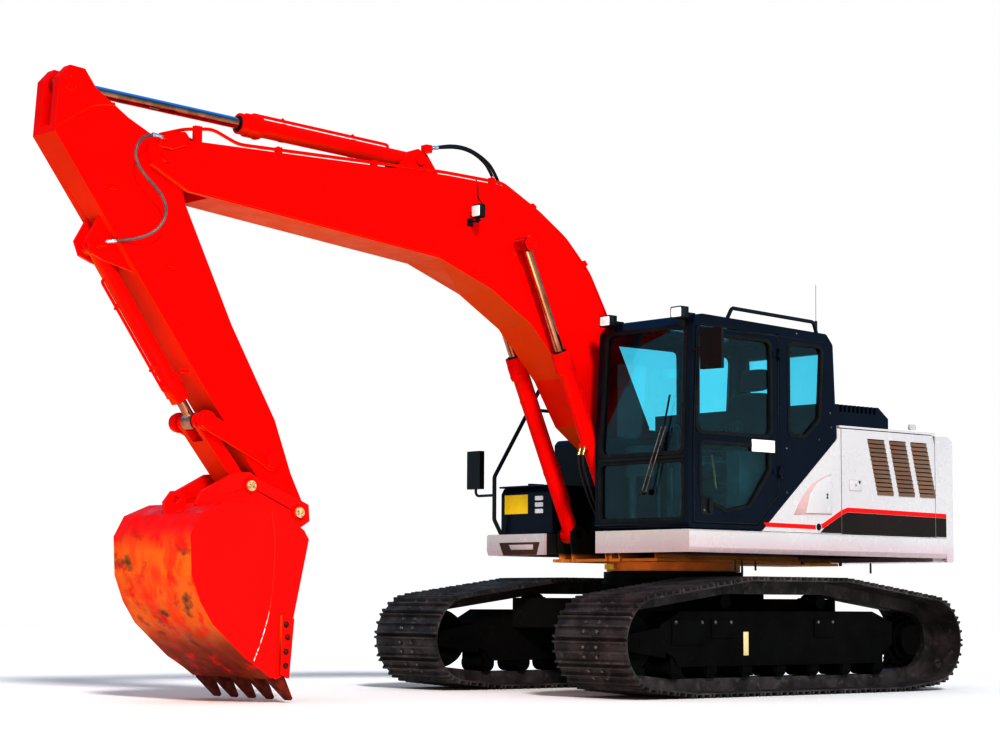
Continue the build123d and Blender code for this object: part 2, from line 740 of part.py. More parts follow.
def cab_door():
    """Door as thick as the wall, with an upper and a lower window."""
    door = side_plate(door_opening(), cab_left - cab_wall, cab_left)
    door -= side_plate(upper_window, cab_left - cab_wall - 5, cab_left + 5)
    door -= side_plate(lower_window, cab_left - cab_wall - 5, cab_left + 5)
    for z in cab_hinge_heights:
        door += cab_hinge_strap(z)
    return door


def door_panes():
    y = cab_left - cab_wall / 2
    return [pane_side(upper_window, y), pane_side(lower_window, y)]


def cab_inside():
    """The space between the cab's walls."""
    return side_plate(cab_outline(cab_wall), cab_right + cab_wall, cab_left - cab_wall)


def cab_seat():
    """Suspension base, cushion, back and headrest."""
    middle = (cab_right + cab_left) / 2
    floor = cab_bottom + cab_wall
    base = block(-120, 300, middle - 210, middle + 210, floor, 1760) & cab_inside()
    cushion = block(-140, 400, middle - 250, middle + 250, 1760, 1880)
    back = side_plate([(-140, 1880), (-30, 1880), (-130, 2480), (-240, 2480)], middle - 240, middle + 240)
    head = side_plate([(-150, 2480), (-240, 2480), (-260, 2680), (-180, 2680)], middle - 140, middle + 140)
    return [base, cushion, back, head]


def cab_consoles():
    """Arm consoles with levers, the monitor post and travel pedals."""
    middle = (cab_right + cab_left) / 2
    floor = cab_bottom + cab_wall
    parts = []
    for side in (-1, 1):
        y = middle + side * 335
        box_part = block(-150, 420, y - 70, y + 70, floor, 1950) & cab_inside()
        parts.append(box_part + upright(360, y, 1940, 2120, 22))
    screen = block(780, 860, cab_right + 90, cab_right + 330, 1750, 2000)
    parts.append(screen + upright(820, cab_right + 130, floor, 1760, 35))
    for side in (-1, 1):
        parts.append(upright(850, middle + side * 70, floor, 1900, 12))
    return parts


def cab_rail():
    """Guard rail on the roof's left edge with its feet."""
    y = cab_left - 60
    rail = pipe_along(
        [(620, y, cab_top - 12), (560, y, rail_height), (-430, y, rail_height - 30), (-480, y, cab_top - 70)],
        15, 40,
    )
    return rail - side_plate(cab_outline(-seat_clearance), cab_right, cab_left)


def cab_lamps():
    """Two lamps on the front edge of the roof."""
    parts = []
    for y in (cab_right + 130, cab_left - 110):
        lamp = block(cab_front - 60, cab_front + 10, y - 62, y + 62, cab_top - 40, cab_top + 50)
        foot = block(cab_front - 170, cab_front - 50, y - 30, y + 30, cab_top - 100, cab_top + 10)
        parts.append((lamp + foot) - side_plate(cab_outline(-seat_clearance), cab_right, cab_left, radii=40))
    return parts


def hand_rails():
    """Rail up the right side from the deck's front corner to the tank top."""
    y = -1190
    main = pipe_along(
        [(925, y + 40, deck_top - 20), (985, y, 1430), (985, y, 1800), (395, y, 2690), (-600, y, 2690), (-600, y, 2120)],
        17, 60,
    )
    bar = pipe_along([(590, y, 2405), (-100, y, 2405), (-100, y, 2120)], 14, 60)
    rails = main + bar
    rails -= block(800, 1100, y - 100, y + 100, deck_top - 100, deck_top)
    return rails - fuel_tank()


def right_mirror():
    """Mirror on a bent arm from the right rail."""
    arm = pipe_along([(990, -1190, 1640), (990, -1430, 1640), (990, -1430, 1850)], 11, 40)
    head = block(965, 1015, -1520, -1350, 1700, 2030)
    return (arm + head) - hand_rails()


mirror_turn = 10.0


def left_mirror():
    """Mirror on a bracket at the cab's front pillar, ahead of the door's sweep."""
    arm = pipe_along([(1062, cab_left - 30, 2700), (1100, cab_left + 60, 2700), (1090, cab_left + 200, 2700)], 11, 40)
    arm -= side_plate(cab_outline(-seat_clearance), cab_right, cab_left + seat_clearance, radii=40)
    head = Pos(1085, cab_left + 215, 2700) * Rot(0, 0, mirror_turn) * Box(34, 200, 320)
    return arm + head


# Boom, arm and bucket

boom_outline = [
    (215.0, 1700.0), (330.0, 1690.0), (1040.0, 2180.0), (1280.0, 2550.0), (1680.0, 2955.0), (2110.0, 3205.0),
    (2650.0, 3400.0), (4990.0, 3640.0), (5200.0, 3745.0), (5310.0, 3800.0), (5341.0, 3944.0), (5233.0, 3985.0),
    (4950.0, 4010.0), (2600.0, 4065.0), (1989.0, 4054.0), (1608.0, 3870.0), (1306.0, 3681.0), (1045.0, 3425.0),
    (861.0, 3115.0), (170.0, 1860.0), (150.0, 1770.0),
]


def boom():
    """Hollow box boom with a foot bore, a forked tip and cylinder brackets."""
    half = boom_width / 2
    low, high = boom_y - half, boom_y + half
    body = side_plate(boom_outline, low, high)
    body += cross_pin(boom_foot, low, high, 115)
    inner = offset(side_face(boom_outline), -boom_plate)
    hollow = extrude(Pos(0, low + boom_plate, 0) * inner, amount=boom_width - 2 * boom_plate, dir=(0, 1, 0))
    keep = block(620, 4740, low - 1, high + 1, 1500, 4300)
    body -= hollow & keep
    arm_room = arm_width / 2 + eye_clearance
    fork = [(4800, 3300), (5700, 3300), (5700, 4300), (4960, 4300), (4960, 3900), (4800, 3750)]
    body -= side_plate(fork, boom_y - arm_room, boom_y + arm_room)
    body -= cross_pin(boom_foot, low - 1, high + 1, pin_radius + rod_gap)
    body -= cross_pin(boom_tip, low - 1, high + 1, pin_radius + rod_gap)
    boss = cylinder_offset - boom_barrel_radius - half
    for side in (-1, 1):
        body += cross_pin(boom_cylinder_head, boom_y + side * half, boom_y + side * (half + boss), 95)
    ear_gap = arm_barrel_radius + eye_clearance
    for side in (-1, 1):
        y_in = boom_y + side * ear_gap
        y_out = boom_y + side * (ear_gap + 30)
        a, b = sorted([y_in, y_out])
        ear = side_plate([(2560, 4040), (3040, 4040), (2890, 4230), (2800, 4262), (2710, 4230)], a, b)
        ear -= cross_pin(arm_cylinder_foot, a - 1, b + 1, pin_radius + rod_gap)
        body += ear
    return body


def boom_pins():
    """Pin through the cylinders' heads and the boom, the arm's pin and the arm cylinder's foot pin."""
    half = boom_width / 2
    tip = cross_pin(boom_tip, boom_y - half - 22, boom_y + half + 22, pin_radius)
    reach = arm_barrel_radius + eye_clearance + 30 + 16
    foot = cross_pin(arm_cylinder_foot, boom_y - reach, boom_y + reach, pin_radius)
    return [tip, foot]


arm_outline = [
    (5060.0, 3940.0), (5060.0, 3790.0), (4987.0, 3548.0), (4571.0, 2715.0), (4175.0, 2045.0), (4023.0, 1655.0),
    (3900.0, 1420.0), (3930.0, 1290.0), (4040.0, 1275.0), (4170.0, 1420.0), (4595.0, 1980.0), (5558.0, 3260.0),
    (6067.0, 3943.0), (6040.0, 4330.0), (5960.0, 4420.0), (5840.0, 4410.0), (5750.0, 4290.0), (5480.0, 4115.0),
    (5280.0, 4020.0), (5140.0, 4005.0),
]


def arm():
    """Hollow tapering arm with ears for three cylinders' pins."""
    half = arm_width / 2
    low, high = boom_y - half, boom_y + half
    body = side_plate(arm_outline, low, high)
    inner = offset(side_face(arm_outline), -arm_plate)
    hollow = extrude(Pos(0, low + arm_plate, 0) * inner, amount=arm_width - 2 * arm_plate, dir=(0, 1, 0))
    keep = side_plate([(4200, 1750), (5900, 1750), (5900, 4150), (4200, 4150)], low - 1, high + 1)
    body -= hollow & keep
    body += cross_pin(boom_tip, low, high, arm_boss_radius)
    body -= cross_pin(boom_tip, low - 1, high + 1, pin_radius + rod_gap)
    rod_room = arm_rod_radius + 24
    body -= side_plate([(5560, 4120), (6200, 3960), (6200, 4600), (5560, 4600)], boom_y - rod_room, boom_y + rod_room)
    cylinder_room = bucket_barrel_radius + eye_clearance
    for side in (-1, 1):
        a, b = sorted([boom_y + side * cylinder_room, boom_y + side * (cylinder_room + 28)])
        ear = side_plate([(5330, 3020), (5640, 3440), (5760, 3230), (5720, 3130), (5620, 3090)], a, b)
        ear -= cross_pin(bucket_cylinder_foot, a - 1, b + 1, pin_radius + rod_gap)
        body += ear
    body -= cross_pin(guide_pin, low - 1, high + 1, pin_radius - 5 + rod_gap)
    body -= cross_pin(bucket_pin, low - 1, high + 1, pin_radius + rod_gap)
    return body


def arm_pins():
    """Pins at the bucket cylinder's foot and at the guide links."""
    reach = bucket_barrel_radius + eye_clearance + 28 + 14
    foot = cross_pin(bucket_cylinder_foot, boom_y - reach, boom_y + reach, pin_radius)
    half = arm_width / 2 + link_plate + 26
    guide = cross_pin(guide_pin, boom_y - half, boom_y + half, pin_radius - 5)
    return [foot, guide]


link_plate = 36.0


def barrel(start, end, y, length, radius, rod_radius):
    """Cylinder tube with an eye at its foot, a gland and an inner bore."""
    eye = cross_pin(start, y - radius, y + radius, radius + 12)
    tube = rod_from(start, end, y, 30, length - 60, radius)
    gland = rod_from(start, end, y, length - 150, length, radius + 10)
    bore = rod_from(start, end, y, 110, length - 70, radius - 12)
    mouth = rod_from(start, end, y, length - 80, length + 5, rod_radius + rod_gap)
    body = eye + tube + gland - bore - mouth
    return body - cross_pin(start, y - radius - 20, y + radius + 20, pin_radius + rod_gap)


def rod(start, end, y, inside, radius, eye_half):
    """Chromed rod from its inner end to its eye."""
    span = distance(start, end)
    bar = rod_from(start, end, y, inside, span - 30, radius)
    return bar + cross_pin(end, y - eye_half, y + eye_half, radius + rod_eye_wall)


def boom_barrels():
    tubes = []
    for side in (-1, 1):
        tubes.append(barrel(boom_cylinder_foot, boom_cylinder_head, boom_y + side * cylinder_offset,
                            boom_barrel_length, boom_barrel_radius, boom_rod_radius))
    return tubes


def boom_rods():
    """Both rods, each with the end of the pin that joins them to the boom."""
    rods = []
    for side in (-1, 1):
        y = boom_y + side * cylinder_offset
        eye_half = boom_barrel_radius - eye_clearance
        bar = rod(boom_cylinder_foot, boom_cylinder_head, y, boom_rod_inside, boom_rod_radius, eye_half)
        cap = cross_pin(boom_cylinder_head, y, y + side * (eye_half + 18), pin_radius)
        rods.append(bar + cap)
    return rods


def guide_links():
    """Pair of links from the arm to the bucket cylinder's rod."""
    links = []
    for side in (-1, 1):
        inner = arm_width / 2 + eye_clearance
        a, b = sorted([boom_y + side * inner, boom_y + side * (inner + link_plate - 8)])
        bar = side_plate(link_outline(guide_pin, link_pin, 62), a, b)
        bar += cross_pin(guide_pin, a, b, 74) + cross_pin(link_pin, a, b, 74)
        bar -= cross_pin(guide_pin, a - 1, b + 1, pin_radius - 5 + rod_gap)
        bar -= cross_pin(link_pin, a - 1, b + 1, pin_radius - 5 + rod_gap)
        links.append(bar)
    return links


def link_outline(start, end, half):
    """Straight bar's outline between two (x, z) places."""
    span = distance(start, end)
    dx, dz = (end[0] - start[0]) / span, (end[1] - start[1]) / span
    return [
        (start[0] - dz * half, start[1] + dx * half), (end[0] - dz * half, end[1] + dx * half),
        (end[0] + dz * half, end[1] - dx * half), (start[0] + dz * half, start[1] - dx * half),
    ]


def power_link():
    """Forked link from the rod's eye to the bucket, with the pin that joins rod and guides."""
    half = arm_width / 2 - 30
    body = side_plate(link_outline(link_pin, bucket_link_pin, link_boss_radius - 8), boom_y - half, boom_y + half)
    body += cross_pin(link_pin, boom_y - half, boom_y + half, link_boss_radius)
    body += cross_pin(bucket_link_pin, boom_y - half, boom_y + half, link_boss_radius)
    room = bucket_rod_radius + 30
    body -= cross_pin(link_pin, boom_y - room, boom_y + room, 150)
    reach = arm_width / 2 + eye_clearance + link_plate + 10
    body += cross_pin(link_pin, boom_y - reach, boom_y - room, pin_radius - 5)
    body += cross_pin(link_pin, boom_y + room, boom_y + reach, pin_radius - 5)
    return body


bucket_outline = [
    (4106.0, 1165.0), (4150.0, 1230.0), (4420.0, 1400.0), (4830.0, 1415.0), (5040.0, 1330.0), (5125.0, 1180.0),
    (5110.0, 900.0), (5035.0, 715.0), (4930.0, 560.0), (4650.0, 320.0), (4385.0, 165.0), (4330.0, 185.0),
]
bucket_side = 24.0
tooth_count = 5
bucket_eye = (4930.0, 1440.0)
bucket_eye_plate = 30.0
bucket_eye_radius = 27.0


def bucket():
    """Open shell of back plate and two sides, with the hinge ears on top."""
    half = bucket_width / 2
    low, high = boom_y - half, boom_y + half
    shell = side_plate(bucket_outline, low, high)
    mouth = [
        (4060.0, 1120.0), (4170.0, 1205.0), (4430.0, 1376.0), (4820.0, 1392.0), (5020.0, 1315.0), (5102.0, 1175.0),
        (5087.0, 905.0), (5014.0, 728.0), (4912.0, 576.0), (4640.0, 340.0), (4372.0, 188.0), (4250.0, 150.0),
        (4000.0, 600.0),
    ]
    for side in (-1, 1):
        inner = arm_width / 2 + eye_clearance + 2
        a, b = sorted([boom_y + side * inner, boom_y + side * (inner + 40)])
        ear = side_plate(
            [(4090, 1150), (4880, 1400), (4830, 1500), (4560, 1640), (4419, 1650), (4330, 1600), (4010, 1480),
             (3890, 1430), (3880, 1310), (3980, 1250)],
            a, b,
        )
        ear -= cross_pin(bucket_link_pin, a - 1, b + 1, pin_radius + rod_gap)
        ear -= cross_pin(bucket_pin, a - 1, b + 1, pin_radius + rod_gap)
        shell += ear
    shell -= side_plate(mouth, low + bucket_side, high - bucket_side)
    eye = side_plate([(4850, 1395), (4850, 1460), (4900, 1505), (4965, 1500), (5030, 1420), (5020, 1330)],
                     boom_y - bucket_eye_plate / 2, boom_y + bucket_eye_plate / 2)
    eye -= cross_pin(bucket_eye, boom_y - bucket_eye_plate, boom_y + bucket_eye_plate, bucket_eye_radius)
    return shell + eye


def bucket_pins():
    """Pins that hold the bucket to the arm and take the power link."""
    reach = arm_width / 2 + eye_clearance + 42 + 26
    hinge = cross_pin(bucket_pin, boom_y - reach, boom_y + reach, pin_radius)
    pins = [hinge]
    inner = arm_width / 2 - 20
    for side in (-1, 1):
        low, high = sorted([boom_y + side * inner, boom_y + side * reach])
        pins.append(cross_pin(bucket_link_pin, low, high, pin_radius))
    return pins


def bucket_teeth():
    """Five forged teeth along the cutting lip."""
    teeth = []
    usable = bucket_width - 110
    for number in range(tooth_count):
        y = boom_y - usable / 2 + number * usable / (tooth_count - 1)
        tooth = side_plate([(4440, 235), (4395, 155), (4235, 15), (4222, 28), (4330, 250)], y - 42, y + 42)
        teeth.append(tooth - side_plate(bucket_outline, y - 50, y + 50))
    return teeth


def side_cutters():
    """Bolted cutters on the bucket's front edges."""
    cutters = []
    for side in (-1, 1):
        a, b = sorted([boom_y + side * (bucket_width / 2 + 0.3), boom_y + side * (bucket_width / 2 + 26)])
        cutters.append(side_plate([(4284, 174), (4360, 200), (4352, 623), (4245, 597)], a, b))
    return cutters


y_track = gauge / 2
nodes = {
    "carbody": carbody(),
    "swing_bearing": swing_bearing(),
    "track_frame_left": track_frame(1),
    "track_frame_right": track_frame(-1),
    "track_left": track_loop(y_track),
    "track_right": track_loop(-y_track),
    "sprockets": [sprocket(y_track), mirrored(sprocket(y_track))],
    "idlers": [idler(y_track), idler(-y_track)],
    "lower_rollers": [lower_roller(x, side * y_track) for side in (-1, 1) for x in roller_places()],
    "carrier_rollers": [carrier_roller(x, side * y_track) for side in (-1, 1) for x in carrier_places],
    "main_frame": main_frame(),
    "boom_foot_pins": boom_foot_pins(),
    "side_skirts": side_skirts(),
    "counterweight": counterweight(),
    "left_side_panel": left_side_panel(),
    "left_engine_door": engine_door(1),
    "right_engine_door": engine_door(-1),
    "engine_cover": engine_cover(),
    "engine_hood": engine_hood(),
    "engine_block": engine_block(),
    "fuel_tank": fuel_tank(),
    "tool_box": tool_box(),
    "valve_cover": valve_cover(),
    "cab_shell": cab_shell(),
    "cab_glass": cab_panes(),
    "cab_door": cab_door(),
    "door_glass": door_panes(),
    "seat": cab_seat(),
    "consoles": cab_consoles(),
    "roof_rail": cab_rail(),
    "cab_lamps": cab_lamps(),
    "hand_rails": hand_rails(),
    "mirrors": [left_mirror(), right_mirror()],
    "boom": boom(),
    "boom_pins": boom_pins(),
    "boom_barrels": boom_barrels(),
    "boom_rods": boom_rods(),
    "arm": arm(),
    "arm_pins": arm_pins(),
    "arm_barrel": barrel(arm_cylinder_foot, arm_cylinder_head, boom_y, arm_barrel_length,
                         arm_barrel_radius, arm_rod_radius),
    "arm_rod": rod(arm_cylinder_foot, arm_cylinder_head, boom_y, arm_rod_inside, arm_rod_radius, arm_rod_radius + 18),
    "bucket_barrel": barrel(bucket_cylinder_foot, link_pin, boom_y, bucket_barrel_length,
                            bucket_barrel_radius, bucket_rod_radius),
    "bucket_rod": rod(bucket_cylinder_foot, link_pin, boom_y, bucket_rod_inside, bucket_rod_radius, bucket_rod_radius + 24),
    "guide_links": guide_links(),
    "power_link": power_link(),
    "bucket": bucket(),
    "bucket_pins": bucket_pins(),
    "bucket_teeth": bucket_teeth(),
    "side_cutters": side_cutters(),
}


def as_compound(piece):
    """One compound of the solids in a shape or a list of shapes."""
    shapes = piece if isinstance(piece, list) else [piece]
    solids = []
    for shape in shapes:
        solids += list(shape.solids())
    return Compound(solids)


os.makedirs("parts", exist_ok=True)
parts = {name: as_compound(piece) for name, piece in nodes.items()}
boxes = [part.bounding_box() for part in parts.values()]
middle_x = (min(box.min.X for box in boxes) + max(box.max.X for box in boxes)) / 2
floor_z = min(box.min.Z for box in boxes)
for name, part in parts.items():
    print(name, len(part.solids()), round(part.volume / 1e6, 1))
    export_step(part.moved(Location((-middle_x, 0, -floor_z))), f"parts/{name}.step")
print("swing axis at", -middle_x, -floor_z)
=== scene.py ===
import bpy
import bmesh
import json
import math
from mathutils import Matrix, Vector

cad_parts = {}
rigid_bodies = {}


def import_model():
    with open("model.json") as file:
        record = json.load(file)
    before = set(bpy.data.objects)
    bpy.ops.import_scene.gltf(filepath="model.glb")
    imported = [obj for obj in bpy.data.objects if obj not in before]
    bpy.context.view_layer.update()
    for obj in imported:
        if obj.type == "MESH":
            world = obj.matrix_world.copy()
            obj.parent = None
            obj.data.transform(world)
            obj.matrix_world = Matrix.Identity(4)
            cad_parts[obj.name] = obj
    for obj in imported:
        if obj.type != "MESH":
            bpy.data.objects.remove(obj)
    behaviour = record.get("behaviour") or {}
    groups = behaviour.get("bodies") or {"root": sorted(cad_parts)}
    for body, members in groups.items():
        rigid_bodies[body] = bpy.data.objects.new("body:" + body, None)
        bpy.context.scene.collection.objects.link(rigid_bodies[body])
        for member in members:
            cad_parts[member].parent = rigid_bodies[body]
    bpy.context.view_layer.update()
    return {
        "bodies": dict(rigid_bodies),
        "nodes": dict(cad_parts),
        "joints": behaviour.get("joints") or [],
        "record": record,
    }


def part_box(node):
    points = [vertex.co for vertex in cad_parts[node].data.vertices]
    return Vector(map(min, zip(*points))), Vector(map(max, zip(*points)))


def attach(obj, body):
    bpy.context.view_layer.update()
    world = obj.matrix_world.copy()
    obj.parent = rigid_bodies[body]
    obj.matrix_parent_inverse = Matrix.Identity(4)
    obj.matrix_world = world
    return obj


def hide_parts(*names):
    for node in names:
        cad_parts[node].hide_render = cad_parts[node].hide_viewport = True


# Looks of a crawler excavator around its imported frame, metres, X forward, Y left, Z up.
# Places are given about the swing axis on the ground, as in the part's source.
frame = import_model()
nodes = frame["nodes"]
swing_x = -1.7685


def at(x, y, z):
    """Row-frame place of a point given about the swing axis."""
    return Vector((x + swing_x, y, z))


# Camera: the photograph's viewpoint, found from the machine's measured points
camera_place = at(14.028, 13.7289, 0.7243)
camera_heading = math.radians(228.7139)
camera_pitch = math.radians(5.6485)
camera_roll = math.radians(0.3207)
camera_lens = 82.588


def camera_axes():
    """Right, up and back directions of the camera."""
    ahead = Vector((math.cos(camera_pitch) * math.cos(camera_heading),
                    math.cos(camera_pitch) * math.sin(camera_heading), math.sin(camera_pitch)))
    level = Vector((math.sin(camera_heading), -math.cos(camera_heading), 0.0))
    above = level.cross(ahead)
    right = level * math.cos(camera_roll) + above * math.sin(camera_roll)
    up = above * math.cos(camera_roll) - level * math.sin(camera_roll)
    return right, up, -ahead


def make_camera():
    data = bpy.data.cameras.new("camera")
    data.lens = camera_lens
    data.sensor_width = 36.0
    data.clip_end = 200.0
    camera = bpy.data.objects.new("camera", data)
    right, up, back = camera_axes()
    turn = Matrix((right, up, back)).transposed()
    camera.matrix_world = Matrix.Translation(camera_place) @ turn.to_4x4()
    bpy.context.scene.collection.objects.link(camera)
    bpy.context.scene.camera = camera


make_camera()


# Stage and light
sun_from = Vector((0.36, 0.72, 0.6))
sun_distance = 20.0
sun_strength = 3.1
sun_width = math.radians(9)
sun_colour = (1.0, 0.98, 0.95)
bounce_place = (6.5, 4.0, 0.12)
bounce_target = (2.6, 0.0, 3.4)
bounce_power = 240.0
bounce_size = 4.0
bounce_colour = (1.0, 0.62, 0.3)
sky_low = (0.62, 0.86, 0.94, 1.0)
sky_high = (0.08, 0.34, 0.72, 1.0)
sky_strength = 1.15
soft_white = (0.93, 0.95, 1.0, 1.0)
soft_strength = 0.62

bpy.context.scene.view_settings.view_transform = "Standard"
bpy.context.scene.view_settings.gamma = 0.64


def make_light(name, kind, place, target, energy, size, colour):
    data = bpy.data.lights.new(name, kind)
    data.energy = energy
    data.color = colour
    if kind == "AREA":
        data.shape = "DISK"
        data.size = size
    else:
        data.angle = size
    light = bpy.data.objects.new(name, data)
    light.location = place
    light.rotation_euler = (target - place).to_track_quat("-Z", "Y").to_euler()
    light.visible_camera = False
    bpy.context.scene.collection.objects.link(light)


def make_lights():
    middle = at(1.2, 0.0, 1.8)
    make_light("key", "SUN", middle + sun_from * sun_distance, middle, sun_strength, sun_width, sun_colour)
    make_light("ground_bounce", "AREA", at(*bounce_place), at(*bounce_target), bounce_power, bounce_size,
               bounce_colour)


def make_world():
    """White to the camera, a pale sky to glass and chrome, soft white light on everything else."""
    world = bpy.data.worlds.new("studio")
    bpy.context.scene.world = world
    world.use_nodes = True
    tree = world.node_tree
    tree.nodes.clear()

    def background(colour, strength):
        node = tree.nodes.new("ShaderNodeBackground")
        node.inputs["Color"].default_value = colour
        node.inputs["Strength"].default_value = strength
        return node

    def choose(fraction, one, two):
        node = tree.nodes.new("ShaderNodeMixShader")
        for number, socket in enumerate((fraction, one, two)):
            tree.links.new(socket, node.inputs[number])
        return node.outputs[0]

    rays = tree.nodes.new("ShaderNodeLightPath").outputs
    split = tree.nodes.new("ShaderNodeSeparateXYZ")
    tree.links.new(tree.nodes.new("ShaderNodeTexCoord").outputs["Generated"], split.inputs[0])
    ramp = tree.nodes.new("ShaderNodeValToRGB")
    tones = ramp.color_ramp.elements
    tones[0].position = 0.0
    tones[0].color = sky_low
    tones[1].position = 0.7
    tones[1].color = sky_high
    tones.new(0.02).color = sky_low
    tree.links.new(split.outputs["Z"], ramp.inputs["Fac"])
    sky = background(sky_high, sky_strength)
    tree.links.new(ramp.outputs["Color"], sky.inputs["Color"])
    white = background((1.0, 1.0, 1.0, 1.0), 1.0)
    soft = background(soft_white, soft_strength)
    shiny = tree.nodes.new("ShaderNodeMath")
    shiny.operation = "MAXIMUM"
    tree.links.new(rays["Is Glossy Ray"], shiny.inputs[0])
    tree.links.new(rays["Is Transmission Ray"], shiny.inputs[1])
    unseen = choose(shiny.outputs[0], soft.outputs[0], sky.outputs[0])
    seen = choose(rays["Is Camera Ray"], unseen, white.outputs[0])
    tree.links.new(seen, tree.nodes.new("ShaderNodeOutputWorld").inputs[0])


# Materials

class Shader:
    """A Principled material whose inputs are built from noise and place."""

    def __init__(self, name):
        self.material = bpy.data.materials.new(name)
        self.material.use_nodes = True
        self.tree = self.material.node_tree
        self.tree.nodes.clear()
        self.body = self.add("ShaderNodeBsdfPrincipled")
        out = self.add("ShaderNodeOutputMaterial")
        self.link(self.body.outputs[0], out.inputs[0])
        self.place = self.add("ShaderNodeTexCoord").outputs["Object"]
        self.height = None

    def add(self, kind, **values):
        node = self.tree.nodes.new(kind)
        for key, value in values.items():
            setattr(node, key, value)
        return node

    def link(self, source, target):
        self.tree.links.new(source, target)

    def set(self, **values):
        for key, value in values.items():
            self.body.inputs[key.replace("_", " ")].default_value = value
        return self

    def noise(self, scale, detail=3.0, stretch=(1.0, 1.0, 1.0), rough=0.55):
        """Noise value from 0 to 1 at a scale per metre."""
        mapping = self.add("ShaderNodeMapping")
        mapping.inputs["Scale"].default_value = stretch
        self.link(self.place, mapping.inputs["Vector"])
        texture = self.add("ShaderNodeTexNoise")
        texture.inputs["Scale"].default_value = scale
        texture.inputs["Detail"].default_value = detail
        texture.inputs["Roughness"].default_value = rough
        self.link(mapping.outputs[0], texture.inputs["Vector"])
        return texture.outputs["Fac"]

    def ramp(self, source, low, high, out_low=0.0, out_high=1.0):
        """Smooth step of a value between low and high."""
        node = self.add("ShaderNodeMapRange", interpolation_type="SMOOTHSTEP")
        self.link(source, node.inputs["Value"])
        node.inputs["From Min"].default_value = low
        node.inputs["From Max"].default_value = high
        node.inputs["To Min"].default_value = out_low
        node.inputs["To Max"].default_value = out_high
        return node.outputs["Result"]

    def mix(self, fraction, one, two):
        """Colour between two colours or sockets."""
        node = self.add("ShaderNodeMix", data_type="RGBA")
        self.link(fraction, node.inputs["Factor"])
        for value, name in ((one, "A"), (two, "B")):
            socket = [s for s in node.inputs if s.name == name and s.type == "RGBA"][0]
            if isinstance(value, tuple):
                socket.default_value = value if len(value) == 4 else (*value, 1.0)
            else:
                self.link(value, socket)
        return [s for s in node.outputs if s.type == "RGBA"][0]

    def math(self, kind, one, two=None):
        node = self.add("ShaderNodeMath", operation=kind)
        for number, value in enumerate((one, two)):
            if value is None:
                continue
            if isinstance(value, (int, float)):
                node.inputs[number].default_value = value
            else:
                self.link(value, node.inputs[number])
        return node.outputs[0]

    def part(self, axis):
        """Place along an axis of the row frame at rest."""
        node = self.add("ShaderNodeSeparateXYZ")
        self.link(self.place, node.inputs[0])
        return node.outputs[axis]

    def facing(self, axis):
        """The surface normal's share along an axis."""
        geometry = self.add("ShaderNodeNewGeometry")
        node = self.add("ShaderNodeSeparateXYZ")
        self.link(geometry.outputs["Normal"], node.inputs[0])
        return node.outputs[axis]

    def colour(self, socket):
        self.link(socket, self.body.inputs["Base Color"])
        return self

    def rough(self, low, high, scale=6.0):
        self.link(self.ramp(self.noise(scale), 0.3, 0.7, low, high), self.body.inputs["Roughness"])
        return self

    def bump(self, source, depth, strength=0.5):
        node = self.add("ShaderNodeBump")
        node.inputs["Strength"].default_value = strength
        node.inputs["Distance"].default_value = depth
        self.link(source, node.inputs["Height"])
        if self.height is not None:
            self.link(self.height, node.inputs["Normal"])
        self.height = node.outputs["Normal"]
        self.link(self.height, self.body.inputs["Normal"])
        return self


def paint(name, colour, shade, dust, rough=(0.22, 0.36), dust_from=0.62, coat=0.25, peel=0.0006,
          shine=0.3):
    """Sprayed paint: a slow change of tone, specks of dust, orange peel and a clear coat."""
    s = Shader(name)
    tone = s.mix(s.ramp(s.noise(1.7), 0.35, 0.7), colour, shade)
    specks = s.math("MULTIPLY", s.ramp(s.noise(34.0, 5.0), dust_from, dust_from + 0.16), 0.55)
    s.colour(s.mix(specks, tone, dust))
    s.rough(*rough)
    s.bump(s.noise(260.0, 1.0), peel, 0.25)
    s.set(Coat_Weight=coat, Coat_Roughness=0.12, Specular_IOR_Level=shine)
    return s


def red_paint():
    """Vermilion enamel, with painted warm bounce light from the ground on faces that look down."""
    s = Shader("red_enamel")
    tone = s.mix(s.ramp(s.noise(1.3), 0.3, 0.75), (0.86, 0.0035, 0.0015), (0.70, 0.003, 0.0012))
    # Painted warm ground bounce: faces that look down are mixed towards orange.
    down = s.ramp(s.facing("Z"), -0.42, -0.80)
    with_painted_bounce = s.mix(s.math("MULTIPLY", down, 0.85), tone, (0.70, 0.13, 0.0005))
    scratches = s.math("MULTIPLY", s.ramp(s.noise(22.0, 6.0, (1.0, 1.0, 3.0)), 0.66, 0.78), 0.35)
    s.colour(s.mix(scratches, with_painted_bounce, (0.30, 0.012, 0.006)))
    s.rough(0.3, 0.44)
    s.bump(s.noise(240.0, 1.0), 0.0006, 0.2)
    s.set(Coat_Weight=0.0, Specular_IOR_Level=0.05)
    return s.material


